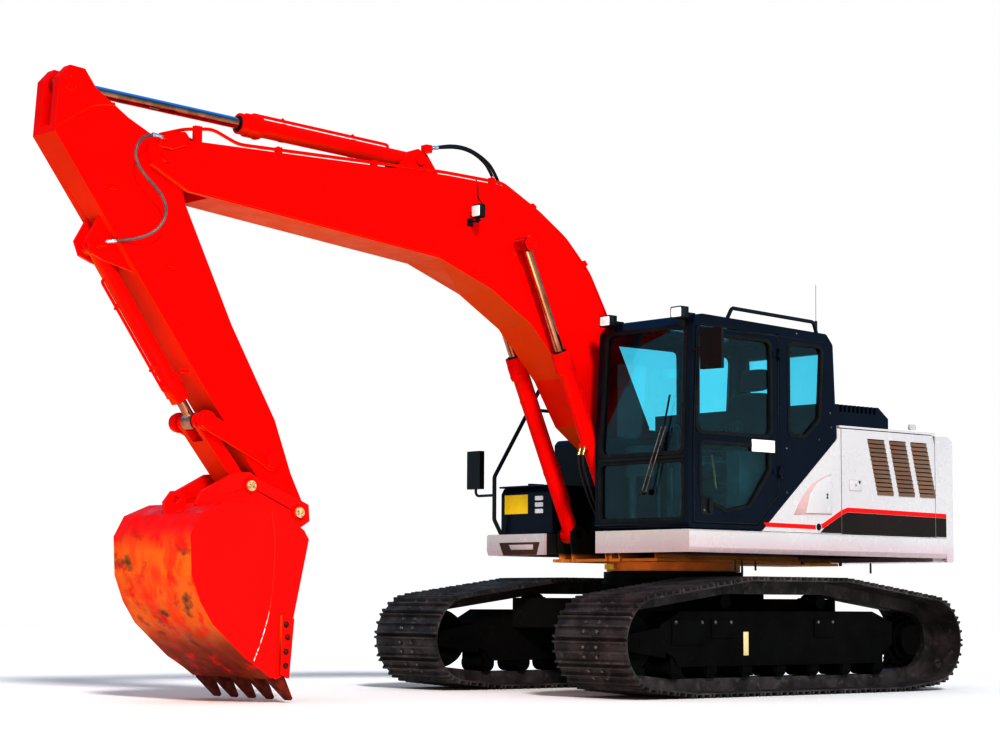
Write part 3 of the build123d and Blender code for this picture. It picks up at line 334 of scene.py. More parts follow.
def bucket_paint():
    """Red enamel worn to orange and rusty steel on the bucket's curved back and inside."""
    s = Shader("worn_bucket_enamel")
    red = s.mix(s.ramp(s.noise(2.0), 0.3, 0.75), (0.80, 0.004, 0.002), (0.62, 0.003, 0.001))
    streak = s.noise(3.0, 4.0, (1.0, 1.6, 1.0), 0.55)
    orange = s.mix(s.ramp(streak, 0.42, 0.62), (0.78, 0.20, 0.006), (0.80, 0.075, 0.003))
    brown = s.mix(s.ramp(s.noise(3.1, 5.0, (1.0, 1.0, 1.4)), 0.53, 0.66), orange, (0.16, 0.06, 0.02))
    brown = s.mix(s.math("MULTIPLY", s.ramp(s.part("Z"), 0.62, 0.34), 0.85), brown, (0.20, 0.022, 0.004))
    side = s.ramp(s.math("ABSOLUTE", s.facing("Y")), 0.75, 0.45)
    low = s.ramp(s.part("Z"), 1.27, 1.02)
    ragged = s.ramp(s.noise(7.0, 5.0), 0.25, 0.5)
    worn = s.math("MULTIPLY", s.math("MULTIPLY", side, low), ragged)
    s.colour(s.mix(worn, red, brown))
    s.rough(0.34, 0.6, 9.0)
    s.bump(s.noise(90.0, 4.0), 0.0012, 0.4)
    s.set(Coat_Weight=0.05, Specular_IOR_Level=0.2)
    return s.material


def tooth_steel():
    """Ground-worn cast steel."""
    s = Shader("worn_tooth_steel")
    s.colour(s.mix(s.ramp(s.noise(16.0, 6.0), 0.35, 0.65), (0.10, 0.012, 0.006), (0.25, 0.03, 0.008)))
    s.rough(0.4, 0.65, 20.0)
    s.bump(s.noise(120.0, 4.0), 0.002, 0.5)
    s.set(Metallic=0.35)
    return s.material


def pin_steel():
    """Machined pin ends with a cream primer."""
    s = Shader("pin_steel")
    s.colour(s.mix(s.ramp(s.noise(40.0, 5.0), 0.4, 0.6), (0.74, 0.60, 0.36), (0.45, 0.33, 0.18)))
    s.rough(0.35, 0.55, 30.0)
    s.bump(s.noise(300.0, 2.0), 0.0008, 0.4)
    s.set(Metallic=0.25)
    return s.material


def chrome():
    """Hard chrome whose colour holds painted reflections: copper of the red boom on its sides, pale sky blue on
    faces that look up.
    """
    s = Shader("rod_chrome")
    # Painted reflections: copper tones for the red boom, blue on upward faces for the sky.
    painted_reflection_copper = s.mix(s.ramp(s.noise(9.0, 3.0), 0.35, 0.65), (0.60, 0.30, 0.20), (0.42, 0.19, 0.12))
    s.colour(s.mix(s.ramp(s.facing("Z"), 0.25, 0.6), painted_reflection_copper, (0.62, 0.80, 0.98)))
    s.rough(0.06, 0.16, 12.0)
    s.set(Metallic=1.0)
    return s.material


def white_paint():
    """White enamel with painted pinkish shade low on the sills and a little dust."""
    s = Shader("white_enamel")
    tone = s.mix(s.ramp(s.noise(1.1, 1.0), 0.25, 0.75), (0.60, 0.59, 0.60), (0.56, 0.55, 0.565))
    # Painted pinkish shade: darker and pinker towards the bottom of the sills.
    low = s.math("MULTIPLY", s.ramp(s.part("Z"), 1.29, 1.13), 0.75)
    with_painted_shade = s.mix(low, tone, (0.58, 0.46, 0.50))
    specks = s.math("MULTIPLY", s.ramp(s.noise(30.0, 5.0), 0.64, 0.8), 0.12)
    s.colour(s.mix(specks, with_painted_shade, (0.5, 0.44, 0.42)))
    s.rough(0.2, 0.32)
    s.bump(s.noise(220.0, 1.0), 0.0005, 0.2)
    s.set(Coat_Weight=0.4, Coat_Roughness=0.1)
    return s.material


def under_black():
    """Near-black chassis paint with grey-brown specks of mud dust."""
    s = paint("chassis_black", (0.004, 0.0035, 0.0035), (0.008, 0.007, 0.007), (0.035, 0.027, 0.022),
              (0.5, 0.72), 0.6, 0.0, 0.0012, 0.12)
    return s.material


def track_steel():
    """Dark shoes with browned, rubbed patches."""
    s = Shader("track_steel")
    tone = s.mix(s.ramp(s.noise(5.0, 5.0), 0.35, 0.7), (0.045, 0.038, 0.038), (0.115, 0.098, 0.097))
    mud = s.math("MULTIPLY", s.ramp(s.noise(14.0, 6.0), 0.55, 0.7), 0.7)
    s.colour(s.mix(mud, tone, (0.18, 0.15, 0.145)))
    s.rough(0.42, 0.68, 18.0)
    s.bump(s.noise(85.0, 5.0), 0.002, 0.5)
    s.set(Metallic=0.3)
    return s.material


def frame_paint():
    """Deck frame: dark paint, with painted warm orange bounce light on its lowest part."""
    s = Shader("deck_frame_paint")
    # Painted warm bounce light: the orange held in primer is light from the ground on the frame's lowest part.
    painted_bounce_mask = s.ramp(s.part("Z"), 1.14, 1.09)
    dark = s.mix(s.ramp(s.noise(3.0), 0.35, 0.7), (0.014, 0.013, 0.014), (0.03, 0.026, 0.026))
    primer = s.mix(s.ramp(s.noise(4.0, 5.0), 0.35, 0.7), (0.95, 0.42, 0.08), (0.70, 0.28, 0.05))
    s.colour(s.mix(painted_bounce_mask, dark, primer))
    s.rough(0.45, 0.65)
    s.bump(s.noise(110.0, 3.0), 0.001, 0.4)
    return s.material


def glass():
    """Tinted cab glass."""
    s = Shader("cab_glass")
    tint = s.mix(s.ramp(s.noise(1.2), 0.3, 0.7), (0.50, 0.92, 0.95), (0.44, 0.88, 0.92))
    s.colour(tint)
    s.rough(0.0, 0.015, 2.0)
    s.set(Transmission_Weight=1.0, IOR=1.45)
    s.material.use_screen_refraction = True
    return s.material


def seat_cloth():
    """Woven dark seat fabric."""
    s = Shader("seat_cloth")
    weave = s.add("ShaderNodeTexWave")
    weave.inputs["Scale"].default_value = 160.0
    s.link(s.place, weave.inputs["Vector"])
    s.colour(s.mix(weave.outputs["Fac"], (0.010, 0.014, 0.022), (0.03, 0.036, 0.05)))
    s.rough(0.8, 0.95, 40.0)
    s.bump(weave.outputs["Fac"], 0.0015, 0.5)
    s.set(Sheen_Weight=0.3)
    return s.material


def plastic(name, colour, shade, rough=(0.45, 0.6)):
    """Moulded plastic with a fine grain."""
    s = Shader(name)
    s.colour(s.mix(s.ramp(s.noise(6.0), 0.35, 0.7), colour, shade))
    s.rough(*rough, 20.0)
    s.bump(s.noise(700.0, 2.0), 0.0004, 0.4)
    return s.material


def engine_iron():
    """Oily grey casting."""
    return paint("engine_iron", (0.05, 0.05, 0.055), (0.09, 0.085, 0.08), (0.16, 0.13, 0.1), (0.5, 0.7), 0.5, 0.0,
                 0.002).material


navy = paint("navy_enamel", (0.0028, 0.0075, 0.022), (0.005, 0.012, 0.030), (0.03, 0.034, 0.045), (0.16, 0.28),
             0.66, 0.12, 0.0004, 0.2).material
black = paint("rail_black", (0.006, 0.006, 0.007), (0.014, 0.013, 0.014), (0.05, 0.05, 0.05), (0.3, 0.45), 0.62,
              0.3).material
red = red_paint()
white = white_paint()
chassis = under_black()
finishes = {
    "red_paint": red, "bucket_paint": bucket_paint(), "tooth_steel": tooth_steel(), "pin_steel": pin_steel(),
    "rod_chrome": chrome(), "white_paint": white, "white_casting": white, "navy_paint": navy,
    "cab_glass": glass(), "seat_cloth": seat_cloth(),
    "console_plastic": plastic("console_plastic", (0.05, 0.09, 0.10), (0.09, 0.14, 0.15)),
    "rail_paint": black, "under_black": chassis, "frame_paint": frame_paint(), "track_steel": track_steel(),
    "wheel_steel": chassis, "engine_iron": engine_iron(),
}
special = {"engine_cover": white, "boom_pins": red, "arm_pins": red, "boom_foot_pins": chassis}


def dress_nodes():
    """Gives every CAD node its finish, and rounds the edges of sheet metal and castings."""
    for entry in frame["record"]["subparts"]:
        node = nodes[entry["node"]]
        material = special.get(entry["node"], finishes[entry["material_slot"]])
        node.data.materials.clear()
        node.data.materials.append(material)
    for name, width in edge_radii.items():
        soften(nodes[name], width)


# Edge rounding of the CAD nodes, metres
edge_radii = {
    "cab_shell": 0.012, "cab_door": 0.006, "counterweight": 0.022, "side_skirts": 0.010,
    "left_side_panel": 0.004,
    "boom": 0.006, "arm": 0.006, "bucket": 0.006, "engine_hood": 0.012, "tool_box": 0.012, "valve_cover": 0.01,
    "fuel_tank": 0.01, "mirrors": 0.01, "power_link": 0.005, "guide_links": 0.006, "side_cutters": 0.004,
    "bucket_teeth": 0.005, "cab_lamps": 0.008, "carbody": 0.006, "boom_barrels": 0.004, "arm_barrel": 0.004,
    "bucket_barrel": 0.004,
}


def soften(node, width):
    """Joins the node's split corners and bevels its sharp edges, as modifiers only."""
    weld = node.modifiers.new("join", "WELD")
    weld.merge_threshold = 0.0002
    bevel = node.modifiers.new("edges", "BEVEL")
    bevel.width = width
    bevel.segments = 2
    bevel.limit_method = "ANGLE"
    bevel.angle_limit = math.radians(38)
    bevel.harden_normals = True
    bevel.use_clamp_overlap = True


def make_floor():
    mesh = bpy.data.meshes.new("floor")
    half = 40.0
    corners = [(-half, -half, 0.0), (half, -half, 0.0), (half, half, 0.0), (-half, half, 0.0)]
    mesh.from_pydata(corners, [], [(0, 1, 2, 3)])
    floor = bpy.data.objects.new("floor", mesh)
    bpy.context.scene.collection.objects.link(floor)
    s = Shader("pale_floor")
    s.colour(s.mix(s.noise(0.8), (0.93, 0.93, 0.93), (0.96, 0.96, 0.96)))
    s.set(Roughness=0.9)
    mesh.materials.append(s.material)


# Finishes of the added pieces

def steel(name, colour, shade, rough=(0.28, 0.5), metal=0.8):
    """Bare or plated steel with stains."""
    s = Shader(name)
    s.colour(s.mix(s.ramp(s.noise(45.0, 4.0), 0.35, 0.65), colour, shade))
    s.rough(*rough, 30.0)
    s.bump(s.noise(320.0, 2.0), 0.0006, 0.35)
    s.set(Metallic=metal)
    return s.material


def enamel(name, colour, shade, dust=(0.3, 0.25, 0.22), rough=(0.25, 0.4), coat=0.2):
    return paint(name, colour, shade, dust, rough, 0.66, coat, 0.0004).material


def lens_glass(name, colour, shade, glow):
    """Bright lens with a fluted look."""
    s = Shader(name)
    s.colour(s.mix(s.ramp(s.noise(30.0, 2.0), 0.3, 0.7), colour, shade))
    s.rough(0.05, 0.15, 10.0)
    s.bump(s.noise(140.0, 1.0, (1.0, 3.0, 0.2)), 0.001, 0.4)
    s.set(Coat_Weight=1.0, Emission_Color=(*colour, 1.0), Emission_Strength=glow)
    return s.material


bolt_steel = steel("bolt_steel", (0.30, 0.28, 0.27), (0.13, 0.11, 0.10))
bright_steel = steel("bright_steel", (0.78, 0.78, 0.80), (0.55, 0.55, 0.57), (0.2, 0.34))
cream_plate = enamel("cream_plate", (0.72, 0.62, 0.38), (0.60, 0.50, 0.30))
yellow_plate = enamel("yellow_plate", (0.95, 0.74, 0.01), (0.88, 0.66, 0.01))
red_band = enamel("red_band", (0.86, 0.006, 0.003), (0.72, 0.004, 0.002))
dark_band = enamel("dark_band", (0.020, 0.009, 0.007), (0.030, 0.014, 0.010))
louvre_brown = enamel("louvre_brown", (0.26, 0.17, 0.12), (0.20, 0.12, 0.085), (0.4, 0.3, 0.24), (0.35, 0.5),
                      0.1)
scoop_shade = enamel("scoop_shade", (0.60, 0.45, 0.46), (0.50, 0.36, 0.37))
step_pocket_shade = enamel("step_pocket_shade", (0.11, 0.035, 0.018), (0.07, 0.022, 0.012))
pull_bronze = enamel("pull_bronze", (0.50, 0.16, 0.05), (0.34, 0.10, 0.03))
label_white = enamel("label_white", (0.90, 0.90, 0.92), (0.84, 0.84, 0.87))
dark_rubber = plastic("dark_rubber", (0.004, 0.004, 0.005), (0.012, 0.011, 0.011), (0.5, 0.7))
handle_black = plastic("handle_black", (0.005, 0.005, 0.006), (0.014, 0.013, 0.013), (0.3, 0.45))
console_dark = plastic("console_dark", (0.02, 0.03, 0.035), (0.035, 0.045, 0.05))
lamp_body = plastic("lamp_body", (0.02, 0.025, 0.028), (0.05, 0.055, 0.06), (0.2, 0.3))
lamp_black = plastic("lamp_black", (0.006, 0.005, 0.005), (0.02, 0.015, 0.014), (0.3, 0.45))
hose_rubber = plastic("hose_rubber", (0.006, 0.006, 0.007), (0.014, 0.013, 0.013), (0.35, 0.5))
hose_guard = plastic("hose_guard", (0.12, 0.10, 0.11), (0.20, 0.17, 0.17), (0.3, 0.45))
lamp_lens = lens_glass("lamp_lens", (0.92, 0.95, 0.97), (0.7, 0.76, 0.8), 0.25)
# Painted glow: the tool box's three slots are no lamp but are given a faint emission.
painted_slot_glow = lens_glass("painted_slot_glow", (0.80, 0.84, 0.9), (0.66, 0.7, 0.76), 0.1)
monitor_glass = lens_glass("monitor_glass", (0.10, 0.22, 0.26), (0.06, 0.16, 0.2), 0.05)
tooth = finishes["tooth_steel"]
brass = steel("brass_fittings", (0.62, 0.45, 0.22), (0.42, 0.28, 0.12), (0.25, 0.4))


def seam_finish():
    """Red enamel on a weld bead, rubbed bright near the bucket's foot."""
    s = Shader("seam_paint")
    low = s.ramp(s.part("Z"), 0.72, 0.52)
    rubbed = s.math("MULTIPLY", low, s.ramp(s.noise(38.0, 4.0), 0.42, 0.55))
    s.colour(s.mix(rubbed, (0.55, 0.003, 0.002), (0.85, 0.75, 0.70)))
    s.rough(0.35, 0.5, 20.0)
    s.bump(s.noise(180.0, 3.0), 0.0015, 0.5)
    return s.material


seam_paint = seam_finish()


# Piece making

no_radius = 1e-6
crease = math.radians(30)


def join_loops(bm, one, two):
    """Faces between two loops of as many corners."""
    for i in range(len(one)):
        j = (i + 1) % len(one)
        bm.faces.new((one[i], one[j], two[j], two[i]))


def join_chain(bm, loops, closed=False):
    """Faces from each loop to the next, and from the last to the first where closed."""
    for one, two in zip(loops, loops[1:] + (loops[:1] if closed else [])):
        join_loops(bm, one, two)


def round_loop(bm, spot, side, other, radius, sides):
    """Corners of a circle round a spot."""
    return [bm.verts.new(spot + side * (radius * math.cos(2 * math.pi * i / sides))
                         + other * (radius * math.sin(2 * math.pi * i / sides))) for i in range(sides)]


def square_to(axis):
    """Unit vector of an axis, and two more at right angles to it."""
    axis = Vector(axis).normalized()
    side = axis.orthogonal().normalized()
    return axis, side, axis.cross(side)


def as_mesh(bm, name, material):
    mesh = bpy.data.meshes.new(name)
    bm.to_mesh(mesh)
    bm.free()
    mesh.shade_smooth()
    mesh.materials.append(material)
    return mesh


def placed(name, data, body):
    """Object of a mesh or curve that rides on a body."""
    piece = bpy.data.objects.new(name, data)
    bpy.context.scene.collection.objects.link(piece)
    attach(piece, body)
    return piece


class Piece:
    """Mesh gathered in the row frame; done() makes one object of it that rides on a body."""

    def __init__(self, name, body, material):
        self.name = name
        self.body = body
        self.material = material
        self.bm = bmesh.new()

    def slab(self, place, outline, low, high):
        """Prism over an outline; place turns (u, v, w) into a point of the row frame."""
        bottom, top = [[self.bm.verts.new(place(u, v, w)) for u, v in outline] for w in (low, high)]
        self.bm.faces.new(bottom[::-1])
        self.bm.faces.new(top)
        join_loops(self.bm, bottom, top)
        return self

    def ring(self, place, outer, inner, low, high):
        """Flat frame between two outlines of as many points."""
        corners = ((outer, low), (inner, low), (inner, high), (outer, high))
        loops = [[self.bm.verts.new(place(u, v, w)) for u, v in outline] for outline, w in corners]
        join_chain(self.bm, loops, closed=True)
        return self

    def turned(self, centre, axis, profile, sides=20):
        """Solid of revolution; the profile is (distance along the axis, radius) from end to end."""
        axis, side, other = square_to(axis)
        rings = []
        for along, radius in profile:
            spot = centre + axis * along
            if radius < no_radius:
                rings.append([self.bm.verts.new(spot)])
            else:
                rings.append(round_loop(self.bm, spot, side, other, radius, sides))
        for one, two in zip(rings, rings[1:]):
            if len(one) == len(two):
                join_loops(self.bm, one, two)
                continue
            for i in range(sides):
                j = (i + 1) % sides
                self.bm.faces.new((one[0], two[j], two[i]) if len(one) == 1 else (one[i], one[j], two[0]))
        if len(rings[0]) > 1:
            self.bm.faces.new(rings[0][::-1])
        if len(rings[-1]) > 1:
            self.bm.faces.new(rings[-1])
        return self

    def sleeve(self, centre, axis, profile, sides=28):
        """Ring round an axis; the profile is a closed loop of (distance along, radius)."""
        axis, side, other = square_to(axis)
        rings = [round_loop(self.bm, centre + axis * along, side, other, radius, sides)
                 for along, radius in profile]
        join_chain(self.bm, rings, closed=True)
        return self

    def bolt(self, centre, axis, size, height):
        """Hexagon head on a washer, with a rounded top."""
        self.turned(centre, axis, [(0.0, size * 1.25), (height * 0.25, size * 1.2)], 12)
        top = [(height * 0.25, size), (height * 0.85, size), (height, size * 0.8)]
        return self.turned(centre, axis, top, 6)

    def done(self, bevel=0.0, segments=2, smooth=35.0, slot=None):
        bmesh.ops.recalc_face_normals(self.bm, faces=self.bm.faces)
        if bevel:
            sharp = [e for e in self.bm.edges if len(e.link_faces) == 2 and e.calc_face_angle() > crease]
            bmesh.ops.bevel(self.bm, geom=sharp, offset=bevel, offset_type="OFFSET", segments=segments,
                            profile=0.5, affect="EDGES", clamp_overlap=True)
        mesh = as_mesh(self.bm, self.name, self.material)
        mesh.set_sharp_from_angle(angle=math.radians(smooth))
        piece = placed(self.name, mesh, self.body)
        return piece


def panel(name, body, material, place, outline, low, high, bevel=0.0, segments=2, slot=None):
    """One slab as a piece of its own."""
    return Piece(name, body, material).slab(place, outline, low, high).done(bevel, segments, slot=slot)


def lathe(name, body, material, centre, axis, profile, sides=20, smooth=35.0):
    """One turned solid as a piece of its own."""
    return Piece(name, body, material).turned(centre, axis, profile, sides).done(smooth=smooth)


def left(y):
    """Plane facing left: (x, z, out)."""
    return lambda u, v, w: at(u, y + w, v)


def right(y):
    """Plane facing right: (x, z, out)."""
    return lambda u, v, w: at(u, y - w, v)


def ahead(x, lean=0.0, foot=0.0):
    """Plane facing forward: (y, z, out), leaning back by a share of the height over foot."""
    return lambda u, v, w: at(x - lean * (v - foot) + w, u, v)


def above(z):
    """Plane facing up: (x, y, out)."""
    return lambda u, v, w: at(u, v, z + w)


def oblong(x_low, x_high, z_low, z_high):
    return [(x_low, z_low), (x_high, z_low), (x_high, z_high), (x_low, z_high)]


def circle(radius, count):
    angles = [2 * math.pi * k / count for k in range(count)]
    return [(radius * math.cos(a), radius * math.sin(a)) for a in angles]


def rounded(outline, radius, grow=0.0, steps=5):
    """A convex outline moved out by grow, with every corner rounded."""
    count = len(outline)
    area = sum(outline[i][0] * outline[(i + 1) % count][1] - outline[(i + 1) % count][0] * outline[i][1]
               for i in range(count))
    turn = 1.0 if area > 0 else -1.0
    lines = []
    for i in range(count):
        one, two = Vector(outline[i]), Vector(outline[(i + 1) % count])
        along = (two - one).normalized()
        out = Vector((along.y, -along.x)) * turn
        lines.append((one + out * grow, along))
    points = []
    for i in range(count):
        (p, a), (q, b) = lines[i - 1], lines[i]
        cross = a.x * b.y - a.y * b.x
        reach = ((q.x - p.x) * b.y - (q.y - p.y) * b.x) / cross
        corner = p + a * reach
        angle = a.angle(b)
        size = max(radius + grow * 0.5, 0.004)
        back = size * math.tan(angle / 2)
        start, end = corner - a * back, corner + b * back
        for k in range(steps + 1):
            t = k / steps
            points.append(tuple(start * (1 - t) ** 2 + corner * (2 * t * (1 - t)) + end * t ** 2))
    return points


def nurbs_line(name, points, order, steps):
    """Smooth line from its first control point to its last."""
    data = bpy.data.curves.new(name, "CURVE")
    data.dimensions = "3D"
    data.resolution_u = steps
    line = data.splines.new("NURBS")
    line.points.add(len(points) - 1)
    for spot, point in zip(line.points, points):
        spot.co = (*point, 1.0)
    line.order_u = order
    line.use_endpoint_u = True
    return data


def tube(name, body, points, radius, material, order=3):
    """Round bar on a smooth line through a few control points."""
    data = nurbs_line(name, points, order, 8)
    data.bevel_depth = radius
    data.bevel_resolution = 3
    data.use_fill_caps = True
    data.materials.append(material)
    return placed(name, data, body)


# Undercarriage

track_pitch_count = 46
shoe_start = 0.265
track_start = (0.6199, 0.909)
track_wheels = [(1.675, 0.42, 0.349), (-1.63, 0.42, 0.349), (1.24, 0.213, 0.187), (-1.19, 0.213, 0.187),
                (0.62, 0.737, 0.172), (-0.52, 0.737, 0.172)]
track_middles = {"left": 1.1, "right": -1.1}
bolt_shares = [0.30, 0.69]
bolt_offsets = [-0.072, 0.072]


def track_line():
    """Side view of the shoe plates' outer face: the convex hull of the wheels, from its start forward."""
    spots = []
    for x, z, radius in track_wheels:
        spots += [(x + radius * math.cos(math.radians(a)), z + radius * math.sin(math.radians(a)))
                  for a in range(0, 360, 3)]
    spots = sorted(set(spots))

    def half(points):
        chain = []
        for p in points:
            while len(chain) > 1 and ((chain[-1][0] - chain[-2][0]) * (p[1] - chain[-2][1])
                                      - (chain[-1][1] - chain[-2][1]) * (p[0] - chain[-2][0])) <= 0:
                chain.pop()
            chain.append(p)
        return chain[:-1]

    loop = (half(spots) + half(spots[::-1]))[::-1]
    first = min(range(len(loop)), key=lambda i: math.dist(loop[i], track_start))
    return loop[first:] + loop[:first]


def along_track(loop, share):
    """Point and outward normal at a share of the loop's length."""
    total = sum(math.dist(a, b) for a, b in zip(loop, loop[1:] + loop[:1]))
    left_over = (share % 1.0) * total
    for a, b in zip(loop, loop[1:] + loop[:1]):
        step = math.dist(a, b)
        if left_over <= step and step > 0:
            t = left_over / step
            way = ((b[0] - a[0]) / step, (b[1] - a[1]) / step)
            return (a[0] + (b[0] - a[0]) * t, a[1] + (b[1] - a[1]) * t), (-way[1], way[0])
        left_over -= step
    return loop[0], (0.0, 1.0)


def shoe_bolts():
    loop = track_line()
    for side, middle in track_middles.items():
        bolts = Piece("shoe_bolts_" + side, "undercarriage", bolt_steel)
        for number in range(track_pitch_count):
            for share in bolt_shares:
                (x, z), (nx, nz) = along_track(loop, (number + share + shoe_start) / track_pitch_count)
                for offset in bolt_offsets:
                    bolts.bolt(at(x - nx * 0.001, middle + offset, z - nz * 0.001), (nx, 0, nz), 0.016, 0.014)
        bolts.done(slot="track_steel")


def ring_of_bolts(piece, centre, axis, radius, count, size, height):
    axis, side, other = square_to(axis)
    for i in range(count):
        angle = 2 * math.pi * (i + 0.5) / count
        piece.bolt(centre + (side * math.cos(angle) + other * math.sin(angle)) * radius, axis, size, height)


frame_label = [(0.427, 0.312), (0.487, 0.312), (0.487, 0.50), (0.427, 0.50)]
frame_face = 1.25
frame_covers = [(0.93, 1.30, 0.40, 0.60), (0.60, 0.86, 0.45, 0.60), (-0.62, -0.36, 0.45, 0.60)]
frame_bolts = (0.97, 1.26, -0.40, -0.58, 0.64, 0.82)
frame_bolt_height = 0.575


def frame_trim():
    """Cream data plates, cover plates and bolts on the track frames' outer faces."""
    for name, plane, out in (("left", left(frame_face), 1), ("right", right(-frame_face), -1)):
        covers = Piece("frame_covers_" + name, "undercarriage", chassis)
        for span in frame_covers:
            covers.slab(plane, oblong(*span), -0.004, 0.012)
        covers.done(0.004)
        panel("frame_label_" + name, "undercarriage", cream_plate, plane, frame_label, -0.002, 0.003, 0.001)
        bolts = Piece("frame_bolts_" + name, "undercarriage", bolt_steel)
        for x in frame_bolts:
            bolts.bolt(plane(x, frame_bolt_height, 0.010), (0, out, 0), 0.013, 0.012)
        bolts.done()


def bearing_trim():
    """Ring of bolts round the swing bearing."""
    bolts = Piece("bearing_bolts", "undercarriage", bolt_steel)
    ring_of_bolts(bolts, at(0, 0, 0.9), (0, 0, 1), 0.53, 36, 0.014, 0.016)
    bolts.done()


# Bands on the side of the house

side = 1.27
house_line = [(0.262, 1.372), (-0.395, 1.366), (-0.462, 1.382), (-0.696, 1.497)]
house_line_low = [(0.235, 1.338), (-0.405, 1.332), (-0.475, 1.346), (-0.696, 1.455)]
door_line = [(-0.704, 1.500), (-0.775, 1.522), (-1.940, 1.508)]
door_line_low = [(-0.704, 1.459), (-0.775, 1.484), (-1.940, 1.472)]
tail_line = [(-1.950, 1.508), (-2.090, 1.506)]
tail_line_low = [(-1.950, 1.472), (-2.090, 1.470)]
band_foot = 1.3065
band_thick = 0.0012
groove = 0.006


def side_bands():
    """Red line and dark band across the side panel, the engine door and the tail, on both sides."""
    runs = {
        "left": (("upper", house_line, house_line_low, 2), ("engine_door_left", door_line, door_line_low, 0),
                 ("upper", tail_line, tail_line_low, 0)),
        "right": (("engine_door_right", door_line, door_line_low, 0), ("upper", tail_line, tail_line_low, 0)),
    }
    for name, plane in (("left", left(side)), ("right", right(-side))):
        for number, (body, top, low, band_from) in enumerate(runs[name]):
            tag = "_" + name + "_" + str(number)
            line = Piece("red_line" + tag, body, red_band)
            for i in range(len(top) - 1):
                line.slab(plane, [top[i], top[i + 1], low[i + 1], low[i]], -0.001, band_thick)
            line.done(slot="red_paint")
            band = Piece("dark_band" + tag, body, dark_band)
            start = [(low[band_from][0] + (0.045 if band_from else 0.0), band_foot)]
            shape = [(x, z - groove * 0.4) for x, z in low[band_from:]] + [(low[-1][0], band_foot)] + start
            band.slab(plane, shape, -0.001, band_thick * 0.8)
            band.done()


# Louvres of the engine doors

louvre_front = -1.04
louvre_spacing = 0.285
louvre_width = 0.22
louvre_top = 2.11
louvre_pitch = 0.036
louvre_slant = 0.01
louvre_gap = 0.007
louvre_columns = 3
louvre_rows = 13
louvre_depth = 0.0085
louvre_end = 0.012
louvre_end_depth = 0.0012
gap_shade_depth = 0.034


def louvre_blade(blades, out, x_high, z_top, z_low):
    """One pressed blade, nearly flat at both of its ends."""
    x_low = x_high - louvre_width
    edge = [(0.0, z_top), (0.0025, z_top), (louvre_depth, z_low + 0.004), (louvre_depth, z_low), (0.0, z_low)]

    def section(x, deepest):
        return [blades.bm.verts.new(at(x, out * (side - 0.001 + min(w, deepest)), z)) for w, z in edge]

    loops = [section(x_low, louvre_end_depth), section(x_low + louvre_end, louvre_depth),
             section(x_high - louvre_end, louvre_depth), section(x_high, louvre_end_depth)]
    blades.bm.faces.new(loops[0][::-1])
    blades.bm.faces.new(loops[-1])
    join_chain(blades.bm, loops)


def louvres():
    """Brown pressed blades over the slots and a dark sheet of painted shade behind them, for the gaps."""
    low_x = louvre_front - 2 * louvre_spacing - 12 * louvre_slant - louvre_width - 0.01
    head = louvre_top + 0.01
    foot = louvre_top - louvre_rows * louvre_pitch
    screen = [(louvre_front + 0.01, head), (low_x + 0.13, head), (low_x, foot), (louvre_front - 0.11, foot)]
    for name, out, body, plane in (("left", 1, "engine_door_left", left(side - gap_shade_depth)),
                                   ("right", -1, "engine_door_right", right(gap_shade_depth - side))):
        blades = Piece("louvre_blades_" + name, body, louvre_brown)
        for column in range(louvre_columns):
            for row in range(louvre_rows):
                x_high = louvre_front - column * louvre_spacing - row * louvre_slant
                z_low = louvre_top - (row + 1) * louvre_pitch
                louvre_blade(blades, out, x_high, louvre_top - row * louvre_pitch - louvre_gap, z_low)
        blades.done(smooth=25)
        # The dark sheet behind the blades is painted shade in the gaps.
        panel("louvre_gap_shade_" + name, body, dark_rubber, plane, screen, 0.0, 0.0035)


# Hatch, latch and labels on the left side

hatch_edge = [(-0.573, 1.794), (-0.472, 1.765), (-0.322, 1.702), (-0.197, 1.583), (-0.097, 1.441),
              (-0.569, 1.455)]
hatch_lid = [(-0.573, 1.786), (-0.485, 1.762), (-0.385, 1.712), (-0.300, 1.625), (-0.245, 1.459),
             (-0.569, 1.463)]
# Spans of the lock's three bars and how far each stands out
hatch_lock = [((-0.520, -0.500, 1.618, 1.628), 0.0016), ((-0.514, -0.506, 1.596, 1.618), 0.0012),
              ((-0.520, -0.498, 1.588, 1.597), 0.0016)]
latch_low, latch_high, latch_foot, latch_head = -0.955, -0.802, 1.667, 1.754
latch_border = 0.004
latch_mark = [(-0.945, 1.748), (-0.912, 1.748), (-0.918, 1.741), (-0.930, 1.722)]
knob_place = (-0.405, 1.352)
knob_profile = [(0.0, 0.027), (0.007, 0.027), (0.010, 0.022), (0.013, 0.014), (0.013, 0.0)]


